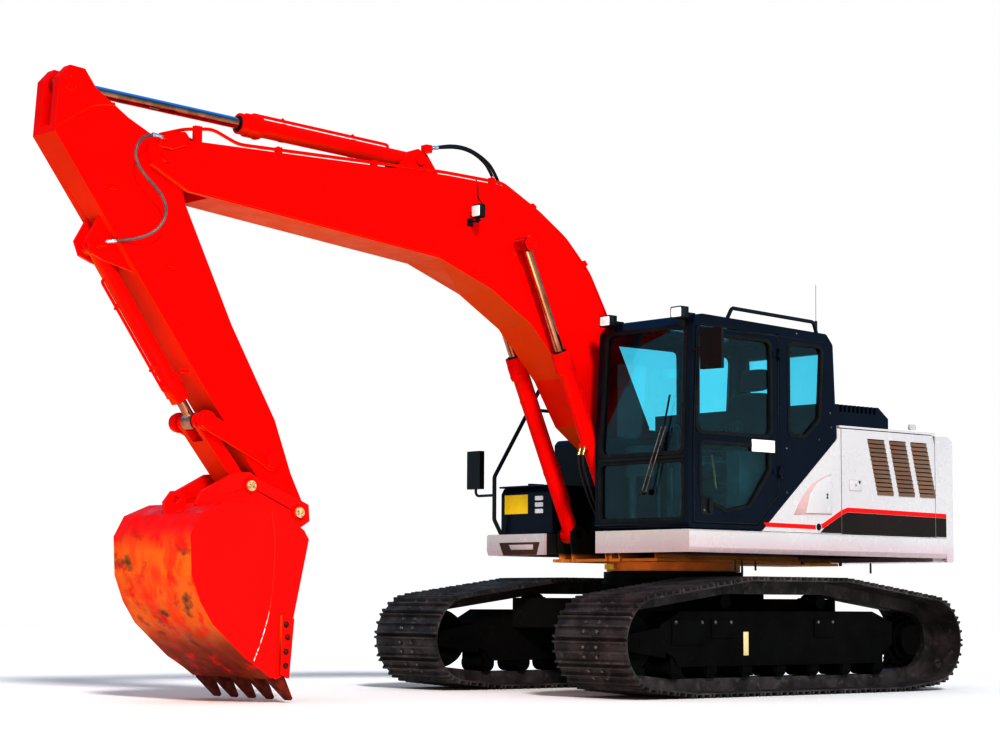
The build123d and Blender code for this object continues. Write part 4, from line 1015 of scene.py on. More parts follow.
def side_fittings():
    """Recess, lid and lock behind the cab, the engine door's latch, and a round knob in its ring."""
    plane = left(side)
    # The recess is a flat sheet in painted pinkish shade.
    panel("hatch_scoop", "upper", scoop_shade, plane, hatch_edge, -0.001, 0.0012, 0.0004)
    panel("hatch_lid", "upper", white, plane, hatch_lid, -0.001, 0.009, 0.004, 3, "white_paint")
    marks = Piece("hatch_lock", "upper", dark_rubber)
    for span, high in hatch_lock:
        marks.slab(left(side + 0.009), oblong(*span), -0.001, high)
    marks.done()
    border = oblong(latch_low - latch_border, latch_high + latch_border, latch_foot - latch_border,
                    latch_head + latch_border)
    # The latch's frame is a thin sheet of painted shade round its plate.
    panel("latch_frame", "engine_door_left", scoop_shade, plane, border, -0.001, 0.0008)
    latch = oblong(latch_low, latch_high, latch_foot, latch_head)
    panel("latch_plate", "engine_door_left", white, plane, latch, -0.001, 0.0035, 0.0015, slot="white_paint")
    key = Piece("latch_key", "engine_door_left", dark_rubber)
    for outline in (latch_mark, oblong(-0.884, -0.877, 1.700, 1.722)):
        key.slab(left(side + 0.0035), outline, -0.001, 0.0012)
    key.done()
    spot = at(knob_place[0], side - 0.001, knob_place[1])
    lathe("side_knob", "upper", dark_rubber, spot, (0, 1, 0), knob_profile, 24, 50)
    lathe("side_knob_ring", "upper", white, spot, (0, 1, 0), [(0.0, 0.038), (0.0035, 0.037), (0.0035, 0.0)], 24)


# Cab

upper_window = [(1.035, 2.065), (1.005, 2.845), (0.165, 2.845), (0.165, 2.065)]
lower_window = [(0.990, 1.985), (0.180, 1.985), (0.180, 1.800), (0.420, 1.500), (0.700, 1.450), (0.990, 1.560)]
rear_quarter = [(-0.050, 2.845), (-0.050, 2.090), (-0.250, 2.090), (-0.430, 2.240), (-0.470, 2.845)]
front_upper = [(0.275, 1.900), (0.295, 2.900), (1.195, 2.900), (1.215, 1.900)]
front_lower = [(0.275, 1.380), (0.275, 1.840), (1.215, 1.840), (1.215, 1.380)]
screen_lean = 0.055 / 1.01
cab_side = 1.27
cab_right_side = 0.22
cab_front = 1.13


def gasket(name, body, place, outline, radius, depth=0.004, inset=0.014, lip=0.016, sink=0.024):
    """Rubber round a window: a lip on the sheet metal that turns in to the glass."""
    piece = Piece(name, body, dark_rubber)
    outer = rounded(outline, radius, lip)
    inner = rounded(outline, radius, -inset)
    piece.ring(place, outer, inner, -0.001, depth)
    edge = rounded(outline, radius, -inset * 0.4)
    piece.ring(place, edge, inner, -sink, -0.001)
    return piece.done(0.0015)


def cab_gaskets():
    gasket("upper_window_gasket", "door", left(cab_side), upper_window, 0.075)
    gasket("lower_window_gasket", "door", left(cab_side), lower_window, 0.06)
    gasket("quarter_gasket_left", "upper", left(cab_side), rear_quarter, 0.06)
    gasket("quarter_gasket_right", "upper", right(cab_right_side), rear_quarter, 0.06)
    gasket("side_gasket_right", "upper", right(cab_right_side), upper_window, 0.06)
    gasket("screen_gasket", "upper", ahead(cab_front, screen_lean, 1.9), front_upper, 0.07)
    gasket("lower_screen_gasket", "upper", ahead(cab_front), front_lower, 0.05)


# Grab handle of the door: x, depth inside the door's face, z
door_pull = [(0.810, 0.048, 1.880), (0.790, 0.075, 1.860), (0.745, 0.085, 1.770), (0.750, 0.075, 1.650),
             (0.760, 0.048, 1.629)]
door_outline = [(1.075, 1.35), (1.075, 2.0), (1.035, 2.90), (0.07, 2.90), (0.07, 1.60), (0.34, 1.35)]
roof_seam = [(0.98, 2.916), (0.98, 2.922), (-0.50, 2.882), (-0.50, 2.876)]
cab_screws = [(-0.560, 2.30), (-0.575, 2.18), (-0.02, 1.98), (-0.02, 1.62), (-0.42, 2.07), (-0.15, 2.93)]


def cab_trim():
    """Door handle, lock and grab handle, a blank label, the door's and the roof's seams, and screws."""
    plane = left(cab_side)
    cup = rounded(oblong(0.855, 0.990, 1.415, 1.560), 0.022)
    panel("door_handle_cup", "door", handle_black, plane, cup, -0.001, 0.003, 0.0012)
    grip = rounded(oblong(0.868, 0.908, 1.430, 1.548), 0.014)
    panel("door_handle", "door", handle_black, plane, grip, 0.002, 0.020, 0.005, 3)
    lock = [(0, 0.012), (0.006, 0.011), (0.006, 0.0)]
    lathe("door_lock", "door", bolt_steel, at(0.955, cab_side + 0.002, 1.45), (0, 1, 0), lock, 16)
    tube("door_pull", "door", [at(x, cab_side - depth, z) for x, depth, z in door_pull], 0.010, pull_bronze)
    label = rounded(oblong(0.128, 0.401, 1.936, 2.035), 0.004)
    panel("door_label", "door", label_white, plane, label, -0.001, 0.0062)
    seam = Piece("door_seam", "door", handle_black)
    seam.ring(plane, rounded(door_outline, 0.03, -0.001), rounded(door_outline, 0.03, -0.014), -0.001, 0.003)
    seam.done(0.001)
    screws = Piece("cab_screws", "upper", bolt_steel)
    for x, z in cab_screws:
        screws.bolt(at(x, cab_side - 0.001, z), (0, 1, 0), 0.008, 0.007)
    screws.done()
    panel("cab_roof_seam", "upper", handle_black, plane, roof_seam, -0.001, 0.0015)


def roof_hatch():
    """Rubber frame of the roof's glass, and the antenna on its base."""
    frame = Piece("roof_hatch_frame", "upper", dark_rubber)
    outline = oblong(0.25, 0.85, 0.42, 1.07)
    frame.ring(above(3.0), rounded(outline, 0.05, 0.03), rounded(outline, 0.05, -0.01), -0.001, 0.012)
    frame.done(0.003)
    base = [(0, 0.03), (0.02, 0.028), (0.04, 0.012), (0.17, 0.011), (0.17, 0.0)]
    lathe("antenna_base", "upper", handle_black, at(-0.52, 1.16, 2.905), (0, 0, 1), base, 16, 50)
    whip = [at(-0.52, 1.16, 3.07), at(-0.52, 1.16, 3.2), at(-0.522, 1.16, 3.38)]
    tube("antenna_whip", "upper", whip, 0.0016, handle_black)


lamp_spots = [0.35, 1.16]


def cab_lamp_glass():
    """Rim and clear lens on each roof lamp."""
    for number, y in enumerate(lamp_spots):
        edge = oblong(y - 0.062, y + 0.062, 2.96, 3.05)
        rim = Piece("lamp_rim_" + str(number), "upper", lamp_body)
        rim.ring(ahead(1.14), rounded(edge, 0.016, 0.002), rounded(edge, 0.016, -0.008), -0.03, 0.008)
        rim.done(0.002)
        lens = rounded(oblong(y - 0.055, y + 0.055, 2.967, 3.043), 0.014)
        panel("lamp_lens_" + str(number), "upper", lamp_lens, ahead(1.14), lens, -0.002, 0.012, 0.004, 3)


# A wiper arm on the windscreen: y, z, distance out
wiper_arm = [(0.800, 1.60, 0.024), (0.850, 1.74, 0.026), (0.985, 2.11, 0.018)]
wiper_blade = [(0.955, 1.92), (0.967, 1.92), (1.060, 2.36), (1.048, 2.36)]


def wiper():
    """Parallel wiper arms and blade on the windscreen's left half, and the bar between its panes."""
    plane = ahead(cab_front, screen_lean, 1.9)
    pivot = [(0, 0.024), (0.02, 0.022), (0.03, 0.012), (0.03, 0.0)]
    lathe("wiper_pivot", "upper", handle_black, plane(0.80, 1.60, -0.001), (1, 0, 0), pivot, 16, 50)
    for number, offset in enumerate((0.0, 0.045)):
        line = [plane(y + offset, z, out) for y, z, out in wiper_arm]
        tube("wiper_arm_" + str(number), "upper", line, 0.0055, bolt_steel)
    panel("wiper_blade", "upper", handle_black, plane, wiper_blade, 0.001, 0.012, 0.002)
    bar = oblong(0.262, 1.228, 1.845, 1.878)
    panel("screen_bar", "upper", handle_black, ahead(cab_front - 0.012), bar, 0.0, 0.016, 0.004)


seat_middle = 0.745
seat_parts = {
    "seat_cushion": ([(-0.14, 1.765), (0.40, 1.765), (0.41, 1.86), (0.36, 1.885), (-0.14, 1.865)], 0.245, 0.75),
    "seat_back": ([(-0.14, 1.875), (-0.035, 1.885), (-0.125, 2.475), (-0.235, 2.475)], 0.235, 0.7),
    "seat_head": ([(-0.155, 2.49), (-0.185, 2.675), (-0.255, 2.675), (-0.238, 2.49)], 0.135, 0.8),
}


# Shares of the half width where a cushion's sections lie; those next to 0.59 are its piping grooves
cushion_across = [-1.0, -0.62, -0.56, -0.2, 0.2, 0.56, 0.62, 1.0]


def cushion(name, outline, half):
    """Padded form: crowned faces between sewn edges, with piping grooves down its length."""
    bm = bmesh.new()
    middle = Vector((sum(x for x, z in outline) / len(outline), sum(z for x, z in outline) / len(outline)))
    loops = []
    for share in cushion_across:
        pull = 0.90 if abs(share) == 1.0 else (0.97 if abs(abs(share) - 0.59) < 0.05 else 1.0)
        loops.append([bm.verts.new(at(middle.x + (x - middle.x) * pull, seat_middle + share * half,
                                      middle.y + (z - middle.y) * pull)) for x, z in outline])
    bm.faces.new(loops[0][::-1])
    bm.faces.new(loops[-1])
    join_chain(bm, loops)
    bmesh.ops.recalc_face_normals(bm, faces=bm.faces)
    edges = [e for e in bm.edges if e.calc_face_angle(0) > 0.6]
    bmesh.ops.bevel(bm, geom=edges, offset=0.02, offset_type="OFFSET", segments=2, profile=0.6, affect="EDGES",
                    clamp_overlap=True)
    piece = bpy.data.objects.new(name, as_mesh(bm, name, finishes["seat_cloth"]))
    bpy.context.scene.collection.objects.link(piece)
    rounder = piece.modifiers.new("round", "SUBSURF")
    rounder.levels = rounder.render_levels = 2
    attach(piece, "upper")
    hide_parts("seat")


def operator_seat():
    """Padded seat on a bellows, with its slides."""
    for name, (outline, half, fill) in seat_parts.items():
        cushion(name, outline, half)
    base = Piece("seat_base", "upper", console_dark)
    outline = oblong(-0.12, 0.30, seat_middle - 0.2, seat_middle + 0.2)
    for number in range(5):
        low = 1.43 + number * 0.06
        base.slab(above(0), rounded(outline, 0.04, 0.0 if number % 2 else 0.014), low, low + 0.062)
    base.slab(above(0), rounded(outline, 0.03), 1.356, 1.432)
    base = base.done(0.006)
    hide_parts("seat")
    rails = Piece("seat_slides", "upper", bolt_steel)
    for y in (-0.15, 0.15):
        rails.slab(above(0), oblong(-0.13, 0.34, seat_middle + y - 0.02, seat_middle + y + 0.02), 1.73, 1.762)
    rails = rails.done(0.003)
    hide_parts("seat")


joystick = [(0.0, 0.055), (0.02, 0.05), (0.035, 0.04), (0.05, 0.036), (0.065, 0.026), (0.12, 0.024),
            (0.15, 0.032), (0.2, 0.034), (0.235, 0.028), (0.25, 0.0)]
travel_grip = [(0, 0.018), (0.02, 0.022), (0.09, 0.021), (0.11, 0.015), (0.115, 0.0)]


def cab_controls():
    """Joystick grips with boots, armrests, the monitor's screen and travel lever grips."""
    for name, sign in (("left", 1), ("right", -1)):
        y = seat_middle + sign * 0.335
        lathe("joystick_" + name, "upper", handle_black, at(0.36, y, 1.95), (0.06, 0, 1), joystick, 20, 60)
        pad = rounded(oblong(-0.14, 0.22, y - 0.06, y + 0.06), 0.03)
        panel("armrest_" + name, "upper", console_dark, above(1.95), pad, 0.0, 0.05, 0.018, 3)
    screen = rounded(oblong(0.325, 0.535, 1.77, 1.98), 0.01)
    panel("monitor_screen", "upper", monitor_glass, lambda u, v, w: at(0.78 - w, u, v), screen,
          -0.001, 0.004, 0.001)
    for name, sign in (("left", 1), ("right", -1)):
        spot = at(0.85, seat_middle + sign * 0.07, 1.80)
        lathe("travel_grip_" + name, "upper", handle_black, spot, (-0.1, 0, 1), travel_grip, 16, 60)


# Front right of the deck

box_face = 0.90
fascia_face = 0.9915
fascia_step = [(-1.113, 1.228), (-0.600, 1.228), (-0.640, 1.122), (-1.060, 1.122)]
fascia_tread = [(-0.990, 1.210), (-0.680, 1.210), (-0.680, 1.165), (-0.960, 1.165)]


def tool_box_trim():
    """Blank yellow plate, three slots with a painted glow, a lid grip and treads, and the step in the fascia as a
    flat sheet of painted shade.
    """
    label = rounded(oblong(-1.150, -0.850, 1.475, 1.640), 0.006)
    panel("box_plate", "upper", yellow_plate, ahead(box_face), label, -0.001, 0.0015)
    # The slots' faint glow is painted light.
    slots = Piece("box_slots", "upper", painted_slot_glow)
    for number in range(3):
        z = 1.475 + number * 0.055
        slots.slab(ahead(box_face), rounded(oblong(-0.760, -0.655, z, z + 0.040), 0.012), -0.001, 0.004)
    slots.done(0.0015)
    grip = rounded(oblong(0.70, 0.86, -0.90, -0.86), 0.01)
    panel("box_grip", "upper", handle_black, above(1.716), grip, -0.001, 0.018, 0.006)
    tread = Piece("box_tread", "upper", bolt_steel)
    for number in range(6):
        for row in range(4):
            spot = at(0.33 + number * 0.07, -1.12 + row * 0.16, 1.7155)
            tread.turned(spot, (0, 0, 1), [(0, 0.016), (0.003, 0.013), (0.003, 0.0)], 10)
    tread.done()
    # The step pocket is a flat dark brown sheet of painted shade, with its white tread on it.
    panel("fascia_step", "upper", step_pocket_shade, ahead(fascia_face), fascia_step, -0.001, 0.0012)
    panel("fascia_tread", "upper", white, ahead(fascia_face), fascia_tread, -0.001, 0.004, 0.0015)


def ring_label():
    """Blank yellow plate in front of the swing bearing."""
    outline = oblong(-0.230, -0.120, 1.000, 1.045)
    panel("ring_plate", "upper", yellow_plate, ahead(0.585), outline, 0.0, 0.003)


# Drain stubs under the deck: x, y, bottom, top, radius
drain_stubs = [(0.36, 1.05, 0.985, 1.072, 0.008), (0.28, 1.05, 0.960, 1.072, 0.009),
               (0.12, 1.05, 0.990, 1.072, 0.008), (-1.33, 1.05, 0.985, 1.072, 0.008),
               (-0.9, 1.08, 1.04, 1.072, 0.014), (-0.4, 1.1, 1.045, 1.072, 0.016)]


def deck_underside():
    """Drain stubs along the deck's left edge."""
    bits = Piece("deck_drains", "upper", handle_black)
    for x, y, low, high, radius in drain_stubs:
        bits.turned(at(x, y, low), (0, 0, 1), [(0, radius), (high - low, radius * 0.9), (high - low, 0.0)], 10)
    bits.done()

# Boom, arm and bucket

boom_left = 0.055
boom_right = -0.355
# Body, foot, head, Y, tube length, tube radius, rod radius, room at the sides
cylinders = {
    "boom_near": ("boom_barrels", (0.78, 1.29), (1.825, 3.59), 0.13, 1.60, 0.065, 0.038, 0.0035),
    "boom_far": ("boom_barrels", (0.78, 1.29), (1.825, 3.59), -0.43, 1.60, 0.065, 0.038, 0.0035),
    "arm": ("arm_barrel", (2.78, 4.175), (5.935, 4.31), -0.15, 1.66, 0.068, 0.042, 0.018),
    "bucket": ("bucket_barrel", (5.655, 3.205), (4.795, 2.008), -0.15, 1.29, 0.060, 0.036, 0.010),
}


def beside(foot, head, y, along, out):
    """Place by a cylinder: a distance along it and one out from its axis, on its upper side."""
    span = math.dist(foot, head)
    dx, dz = (head[0] - foot[0]) / span, (head[1] - foot[1]) / span
    return at(foot[0] + dx * along - dz * out, y, foot[1] + dz * along + dx * out)


def cylinder_trim():
    """Bolted collar at each gland, a wiper ring, and the oil pipe beside the tube."""
    for name, (body, foot, head, y, length, radius, rod, room) in cylinders.items():
        axis = Vector((head[0] - foot[0], 0, head[1] - foot[1])).normalized()
        spot = beside(foot, head, y, 0.0, 0.0)
        lift = beside(foot, head, y, 0.0, 1.0) - spot
        wide = lambda grow, deep: [((radius + grow) * u, (radius + deep) * v) for u, v in circle(1.0, 40)]
        along = lambda u, v, w: spot + axis * w + lift * u + Vector((0, v, 0))
        ring = Piece(name + "_collar", body, red)
        ring.ring(along, wide(0.020, room), wide(-0.002, -0.002), length - 0.185, length - 0.060)
        ring.ring(along, wide(0.026, room), wide(-0.002, -0.002), length - 0.165, length - 0.150)
        for turn in (0.45, 1.0, 2.14, 2.69):
            place = along((radius + 0.012) * math.sin(turn), (radius + room - 0.010) * math.cos(turn),
                          length - 0.061)
            ring.bolt(place, axis, 0.010, 0.012)
        ring.done(0.002, smooth=40, slot="red_paint")
        seal = Piece(name + "_seal", body, dark_rubber)
        seal.sleeve(spot + axis * (length - 0.001), axis,
                    [(0.0, rod + 0.002), (0.0, radius * 0.86), (0.010, radius * 0.80), (0.010, rod + 0.002)])
        seal.done()
        top, low, stand, pipe_radius = length - 0.12, 0.25, radius + 0.024, 0.011
        line = [beside(foot, head, y, top, radius - 0.004), beside(foot, head, y, top, stand),
                beside(foot, head, y, low, stand), beside(foot, head, y, low, radius - 0.004)]
        pipe(name + "_oil_pipe", body, line, pipe_radius, 0.03, red)
        clamps = Piece(name + "_pipe_clamps", body, red)
        for share in (0.35, 0.75):
            band = [(0.0, radius - 0.002), (0.0, radius + 0.003), (0.030, radius + 0.003),
                    (0.030, radius - 0.002)]
            clamps.sleeve(spot + axis * (length * share), axis, band)
            clamps.bolt(beside(foot, head, y, length * share + 0.015, stand + 0.010), lift, 0.010, 0.010)
        clamps.done(smooth=40)


def bent(points, bend, steps=5):
    """Points of a line whose corners are rounded over a distance."""
    out = [points[0]]
    for before, corner, after in zip(points, points[1:], points[2:]):
        back = min(bend, (before - corner).length * 0.45)
        on = min(bend, (after - corner).length * 0.45)
        start = corner + (before - corner).normalized() * back
        end = corner + (after - corner).normalized() * on
        shares = [k / steps for k in range(steps + 1)]
        out += [start * (1 - t) ** 2 + corner * 2 * t * (1 - t) + end * t ** 2 for t in shares]
    return out + [points[-1]]


def pipe(name, body, points, radius, bend, material):
    """Steel pipe with rounded bends."""
    return tube(name, body, bent(points, bend), radius, material, order=2)


boom_pipe_run = [(0.330, 2.186), (0.838, 3.130), (1.028, 3.447), (1.295, 3.705), (1.600, 3.895), (1.985, 4.082),
                 (2.600, 4.092), (4.560, 4.045), (4.790, 4.126), (5.030, 4.092), (5.236, 4.025)]
boom_pipe_sides = (0.030, -0.330)
boom_clamp_spots = [(1.10, 3.497, 46), (1.67, 3.904, 33), (2.10, 4.063, 1), (3.30, 4.046, -1),
                    (4.20, 4.027, -1)]


def boom_plumbing():
    """Two pipes over the boom's back, their clamps and end blocks."""
    for number, y in enumerate(boom_pipe_sides):
        pipe("boom_pipe_" + str(number), "boom", [at(x, y, z) for x, z in boom_pipe_run], 0.012, 0.06, red)
        clamps = Piece("boom_pipe_clamps_" + str(number), "boom", red)
        for x, z, angle in boom_clamp_spots:
            turn = Matrix.Rotation(-math.radians(angle), 3, "Y")
            spot = at(x, y, z)
            place = lambda u, v, w, spot=spot, turn=turn: spot + turn @ Vector((u, v, w))
            clamps.slab(place, oblong(-0.022, 0.022, -0.020, 0.020), -0.004, 0.044)
            clamps.bolt(spot + turn @ Vector((0, 0, 0.044)), turn @ Vector((0, 0, 1)), 0.009, 0.008)
        clamps.slab(above(0), oblong(4.89, 4.95, y - 0.016, y + 0.020), 4.00, 4.128)
        clamps.done(0.003)


def drawn_points(data):
    """Points along a curve, read from the curve itself."""
    holder = bpy.data.objects.new(data.name, data)
    bpy.context.scene.collection.objects.link(holder)
    bpy.context.view_layer.update()
    flat = bpy.data.meshes.new_from_object(holder)
    spots = [v.co.copy() for v in flat.vertices]
    bpy.data.objects.remove(holder)
    bpy.data.meshes.remove(flat)
    return spots


def swept(name, body, route, radius, material, ribs=0.0, ring=0.006, sides=10):
    """Mesh hose along the route's spline; ribs give it a wound guard."""
    spots = drawn_points(nurbs_line(name + "_line", [at(*point) for point in route], 3, 24))
    total = sum((b - a).length for a, b in zip(spots, spots[1:]))
    count = max(int(total / ring), 2)
    places, run, index = [], 0.0, 0
    for k in range(count + 1):
        want = total * k / count
        while index < len(spots) - 2 and run + (spots[index + 1] - spots[index]).length < want:
            run += (spots[index + 1] - spots[index]).length
            index += 1
        step = (spots[index + 1] - spots[index]).length
        places.append(spots[index].lerp(spots[index + 1], min(max((want - run) / step, 0.0), 1.0)))
    bm = bmesh.new()
    side = (places[1] - places[0]).orthogonal().normalized()
    loops = []
    for k, place in enumerate(places):
        ahead_way = (places[min(k + 1, count)] - places[max(k - 1, 0)]).normalized()
        side = (side - ahead_way * side.dot(ahead_way)).normalized()
        size = radius - (ribs if k % 2 and 3 < k < count - 3 else 0.0)
        loops.append(round_loop(bm, place, side, ahead_way.cross(side), size, sides))
    join_chain(bm, loops)
    bm.faces.new(loops[0][::-1])
    bm.faces.new(loops[-1])
    bmesh.ops.recalc_face_normals(bm, faces=bm.faces)
    return placed(name, as_mesh(bm, name, material), body), places, total


def ferrules(name, body, places, radius, reach, material):
    """Crimped sleeves with a nut at both ends of a hose."""
    piece = Piece(name, body, material)
    crimp = [(0.0, radius * 0.95), (0.003, radius * 1.12), (reach * 0.5, radius * 1.06),
             (reach * 0.55, radius * 1.14), (reach, radius * 1.12), (reach + 0.003, radius * 0.9)]
    for spot, toward in ((places[0], places[4]), (places[-1], places[-5])):
        way = (toward - spot).normalized()
        piece.turned(spot - way * 0.004, way, [(0.0, radius * 1.15), (0.018, radius * 1.15)], 6)
        piece.turned(spot + way * 0.012, way, crimp, 14)
    return piece.done(smooth=30)


# Points of each hose in the row's own order: where it leaves, how it hangs, where it ends
arm_hose_route = [
    (5.246, 0.074, 3.998), (5.345, 0.086, 4.004), (5.440, 0.102, 3.955), (5.487, 0.108, 3.868),
    (5.474, 0.112, 3.775), (5.410, 0.112, 3.700), (5.330, 0.110, 3.640), (5.252, 0.106, 3.570),
    (5.212, 0.102, 3.482), (5.228, 0.096, 3.392),
    (5.290, 0.084, 3.315), (5.380, 0.062, 3.265), (5.490, 0.018, 3.236), (5.645, -0.020, 3.214)]
cylinder_hose_routes = [
    [(2.690, -0.022, 4.280), (2.570, -0.024, 4.302), (2.430, -0.028, 4.324), (2.290, -0.030, 4.316),
     (2.165, -0.030, 4.268), (2.070, -0.028, 4.190), (2.012, -0.026, 4.075)],
    [(2.690, -0.062, 4.280), (2.575, -0.060, 4.310), (2.430, -0.062, 4.342), (2.270, -0.066, 4.340),
     (2.120, -0.068, 4.290), (1.990, -0.068, 4.205), (1.900, -0.066, 4.028)]]


def hoses():
    """Guarded hose on the arm and the two hoses of the arm cylinder, each with its fittings."""
    hose, places, total = swept("arm_hose", "arm", arm_hose_route, 0.013, hose_guard, 0.0022, 0.006)
    ends = ferrules("arm_hose_ends", "arm", places, 0.0145, 0.075, bright_steel)
    banjo = [(0, 0.018), (0.050, 0.018), (0.055, 0.012), (0.055, 0.0)]
    lathe("arm_hose_banjo", "arm", red, at(5.226, 0.050, 3.998), (0, 1, 0), banjo, 18, 40)
    panel("arm_hose_port", "arm", red, left(0.0), oblong(5.628, 5.684, 3.180, 3.238), -0.046, -0.004, 0.004)
    for number, route in enumerate(cylinder_hose_routes):
        hose, places, total = swept("cylinder_hose_" + str(number), "boom", route, 0.012, hose_rubber,
                                    0.0, 0.012)
        ends = ferrules("cylinder_hose_ends_" + str(number), "boom", places, 0.0132, 0.06, bright_steel)
    ports = Piece("hose_ports", "boom", red)
    ports.slab(left(-0.046), oblong(2.690, 2.750, 4.240, 4.300), -0.028, 0.041)
    for route in cylinder_hose_routes:
        x, y, z = route[-1]
        ports.slab(above(0), oblong(x - 0.03, x + 0.03, y - 0.016, y + 0.016), z - 0.065, z)
    ports.done(0.004)


lamp_place = (2.35, 0.155, 3.795)


def boom_work_lamp():
    """Black lamp with a pale lens on its bracket, and its cable to the boom's back."""
    x, y, z = lamp_place
    plane = ahead(x - 0.035)
    shell = rounded(oblong(y - 0.058, y + 0.058, z - 0.055, z + 0.055), 0.02)
    panel("boom_lamp_body", "boom", lamp_black, plane, shell, 0.0, 0.055, 0.010, 3)
    lens = rounded(oblong(y - 0.046, y + 0.046, z - 0.043, z + 0.043), 0.014)
    panel("boom_lamp_lens", "boom", lamp_lens, plane, lens, 0.05, 0.062, 0.003, 3)
    foot = Piece("boom_lamp_foot", "boom", lamp_black)
    foot.slab(above(0), oblong(x - 0.014, x + 0.014, boom_left + 0.002, y + 0.03), z - 0.082, z - 0.072)
    foot.slab(above(0), oblong(x - 0.012, x + 0.012, y - 0.012, y + 0.012), z - 0.076, z - 0.05)
    foot.slab(left(boom_left), oblong(x - 0.03, x + 0.03, z - 0.11, z - 0.05), -0.001, 0.006)
    foot.bolt(at(x, y, z - 0.082), (0, 0, -1), 0.011, 0.012)
    for offset in (-0.02, 0.02):
        foot.bolt(at(x + offset, boom_left + 0.006, z - 0.10), (0, 1, 0), 0.008, 0.008)
    foot.done(0.002)
    wire = [at(x - 0.03, y, z + 0.04), at(x - 0.07, y - 0.02, z + 0.07),
            at(x - 0.075, boom_left + 0.012, z + 0.12), at(x - 0.08, boom_left + 0.006, z + 0.19),
            at(x - 0.08, boom_left + 0.004, z + 0.24), at(x - 0.08, boom_left - 0.02, z + 0.276)]
    tube("boom_lamp_wire", "boom", wire, 0.004, hose_rubber)


tip_flag = [(5.279, 3.931), (5.255, 4.000), (5.172, 4.047), (5.045, 4.065), (5.002, 4.013), (5.035, 3.965),
            (5.152, 3.920)]
arm_rib = [(6.050, 3.985), (5.930, 4.070), (5.791, 4.160), (5.700, 4.186), (5.600, 4.192)]
arm_left = 0.0
arm_right = -0.30


def pin_keeper(name, body, place, radius, out, material, angle=0.0):
    """Round retaining plate on a pin's end with its bolts."""
    piece = Piece(name, body, material)
    spot = place - Vector((0, out * 0.001, 0))
    piece.turned(spot, (0, out, 0), [(0.0, radius), (0.010, radius), (0.014, radius * 0.9), (0.014, 0.0)], 28)
    for turn in (angle, angle + math.pi):
        off = Vector((math.cos(turn), 0, math.sin(turn))) * radius * 0.55
        piece.bolt(place + off + Vector((0, out * 0.013, 0)), (0, out, 0), 0.012, 0.011)
    return piece.done(smooth=40)


foot_keeper = [(0, 0.09), (0.012, 0.088), (0.012, 0.0)]
boom_weld = [(2.650, 3.404), (3.5, 3.491), (4.3, 3.573), (4.86, 3.631)]


def boom_trim():
    """Flags at the boom's tip, keepers on its pins, and weld beads and small lugs on its sides."""
    panel("tip_flag", "boom", red, left(boom_left), tip_flag, -0.001, 0.024, 0.012, 3)
    for number, (y, out) in enumerate(((0.195, 1), (-0.495, -1))):
        pin_keeper("head_keeper_" + str(number), "boom_rods", at(1.825, y, 3.59), 0.058, out, red, angle=0.6)
    panel("tip_flag_right", "boom", red, right(boom_right), tip_flag, -0.001, 0.024, 0.012, 3)
    lug = rounded(oblong(2.18, 2.30, 3.30, 3.36), 0.015)
    for number, (y, out) in enumerate(((boom_left, 1), (boom_right, -1))):
        face = y - out * 0.001
        bead = [at(x, face, z + 0.012) for x, z in boom_weld]
        pipe("boom_weld_" + str(number), "boom", bead, 0.005, 0.02, red)
        lathe("foot_keeper_" + str(number), "boom", red, at(0.25, face, 1.78), (0, out, 0), foot_keeper, 24)
        plane = left(face) if out > 0 else right(face)
        panel("boom_lug_" + str(number), "boom", red, plane, lug, 0.0, 0.012, 0.003)


arm_tabs = [(5.10, 3.10), (4.98, 2.35), (5.60, 3.60)]


def arm_trim():
    """Rib, tabs and head pin keeper on both sides of the arm."""
    for number, (y, out) in enumerate(((arm_left, 1), (arm_right, -1))):
        pipe("arm_rib_" + str(number), "arm", [at(x, y + out * 0.002, z) for x, z in arm_rib], 0.013, 0.05, red)
        tabs = Piece("arm_tabs_" + str(number), "arm", red)
        plane = left(y) if out > 0 else right(y)
        for x, z in arm_tabs:
            tabs.slab(plane, rounded(oblong(x - 0.035, x + 0.035, z - 0.014, z + 0.014), 0.008), -0.001, 0.022)
        tabs.done(0.004)
        pin_keeper("arm_head_keeper_" + str(number), "arm", at(5.935, y, 4.31), 0.075, out, red, angle=1.0)


bucket_left = 0.35
bucket_right = -0.65
# Shares of a side cutter's length and height where its bolts lie
cutter_bolts = [(0.62, 0.20), (0.62, 0.42), (0.50, 0.65), (0.62, 0.85)]


def bucket_trim():
    """Bolts on the bucket's side cutters."""
    low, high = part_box("side_cutters")
    for number, out in enumerate((1, -1)):
        bolts = Piece("cutter_bolts_" + str(number), "bucket", tooth)
        edge = high[1] if out > 0 else low[1]
        for share_x, share_z in cutter_bolts:
            x = low[0] + (high[0] - low[0]) * share_x
            z = low[2] + (high[2] - low[2]) * share_z
            bolts.bolt(Vector((x, edge - out * 0.001, z)), (0, out, 0), 0.019, 0.016)
        bolts.done()


# Hood and counterweight

tail_eye = [(-0.05, 0.0), (0.05, 0.0), (0.04, 0.05), (-0.04, 0.05)]
hood_vent_count = 14
grip_post = [(0, 0.018), (0.006, 0.017), (0.006, 0.008), (0.03, 0.008), (0.03, 0.0)]


